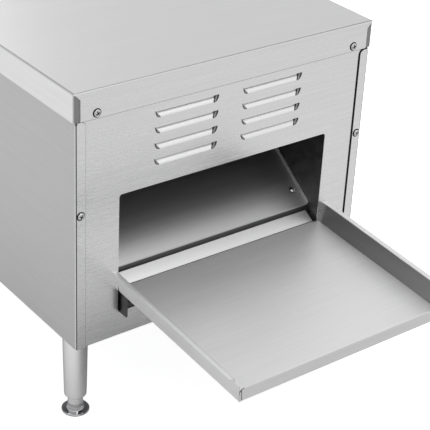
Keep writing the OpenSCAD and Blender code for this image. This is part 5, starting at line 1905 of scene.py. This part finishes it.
@dataclass
class Studio:
    """The camera, the floor and the light."""

    focal_px: float = 1398.8
    picture_px: float = 430.0
    sensor: float = 36.0
    azimuth: float = -0.66656
    elevation: float = 0.50841
    roll: float = 0.052656
    near: float = 50 * MM
    floor_half: float = 6.0
    floor_tone: Colour = (0.82, 0.82, 0.82)
    floor_glow: float = 0.79
    ambient: float = 0.6
    target: Place = (0, 0, 0.2)
    boxes: tuple[SoftBox, ...] = (
        SoftBox("key", (0.5, -0.8, 3.2), 2.4, 42), SoftBox("back", (0.2, 2.7, 1.3), 1.6, 19))
    eye: Vector = field(default_factory=lambda: Vector((-0.79934, -1.17095, 0.91847)))

    def build(self) -> None:
        """Sets everything up."""
        self._camera()
        self._floor()
        self._world()
        self._lamps()
        bpy.context.scene.view_settings.view_transform = "Standard"

    def _camera(self) -> None:
        """Puts the camera in place, with its small roll."""
        back = Vector((math.sin(self.azimuth) * math.cos(self.elevation),
                       -math.cos(self.azimuth) * math.cos(self.elevation), math.sin(self.elevation)))
        right = (-back).cross(Z_AXIS).normalized()
        up = right.cross(-back)
        tilt_right = right * math.cos(self.roll) + up * math.sin(self.roll)
        tilt_up = up * math.cos(self.roll) - right * math.sin(self.roll)
        data = bpy.data.cameras.new("camera")
        data.sensor_width = self.sensor
        data.lens = self.focal_px / self.picture_px * self.sensor
        data.clip_start = self.near
        camera = bpy.data.objects.new("camera", data)
        turn = Matrix((tilt_right, tilt_up, back)).transposed().to_4x4()
        camera.matrix_world = Matrix.Translation(self.eye) @ turn
        bpy.context.scene.collection.objects.link(camera)
        bpy.context.scene.camera = camera

    def _floor(self) -> None:
        """Lays a pale floor that shows as white and keeps the shadow."""
        work, half = Workpiece(), self.floor_half
        work.plate(Vector((x * half, y * half, 0)) for x, y in ((-1, -1), (1, -1), (1, 1), (-1, 1)))
        mesh = work.pressed("floor")
        floor = bpy.data.objects.new("floor", mesh)
        bpy.context.scene.collection.objects.link(floor)
        surface = bpy.data.materials.new("floor_paper")
        surface.use_nodes = True
        board = Board(surface.node_tree)
        out = board.add("ShaderNodeOutputMaterial")
        seen = Value(board, board.add("ShaderNodeLightPath").outputs["Is Camera Ray"])
        paper = board.add("ShaderNodeBsdfDiffuse", None, self.floor_tone)
        glow = board.add("ShaderNodeEmission", None, (1, 1, 1), seen * self.floor_glow)
        both = board.add("ShaderNodeAddShader", None, paper.outputs[0], glow.outputs[0])
        board.tree.links.new(both.outputs[0], out.inputs["Surface"])
        mesh.materials.append(surface)

    def _world(self) -> None:
        """Lights evenly, and shows a white surround to the camera and in the metal."""
        world = bpy.data.worlds.new("studio")
        bpy.context.scene.world = world
        world.use_nodes = True
        board = Board(world.node_tree)
        out = board.add("ShaderNodeOutputWorld")
        path = board.add("ShaderNodeLightPath").outputs
        seen = (Value(board, path["Is Camera Ray"]) + Value(board, path["Is Transmission Ray"])).clamped()
        glossy = Value(board, path["Is Glossy Ray"])
        level = seen + (1 - seen) * (glossy + (1 - glossy) * self.ambient)
        sky = board.add("ShaderNodeBackground", None, (1, 1, 1), level)
        board.tree.links.new(sky.outputs[0], out.inputs["Surface"])

    def _lamps(self) -> None:
        """Hangs the soft boxes, turned to the toaster."""
        for box in self.boxes:
            data = bpy.data.lights.new(box.name, "AREA")
            data.size = box.size
            data.energy = box.power
            lamp = bpy.data.objects.new(box.name, data)
            place = Vector(box.place)
            turn = (Vector(self.target) - place).to_track_quat("-Z", "Y").to_matrix().to_4x4()
            lamp.matrix_world = Matrix.Translation(place) @ turn
            bpy.context.scene.collection.objects.link(lamp)


def main() -> None:
    """Builds and dresses the toaster, and sets up its studio."""
    logging.basicConfig(level=logging.INFO, format="%(name)s: %(message)s")
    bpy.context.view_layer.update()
    shell = Shell.read()
    Studio().build()
    for part in (Cover, SidePanels, DischargePanel, Tray, Chute, Legs, Fasteners, Controls, CrumbTray, Gland):
        part(shell).build()
        LOG.info("built %s", part.__name__)
    dress_kept_nodes()
    LOG.info("dressed the other nodes")


if __name__ == "__main__":
    main()
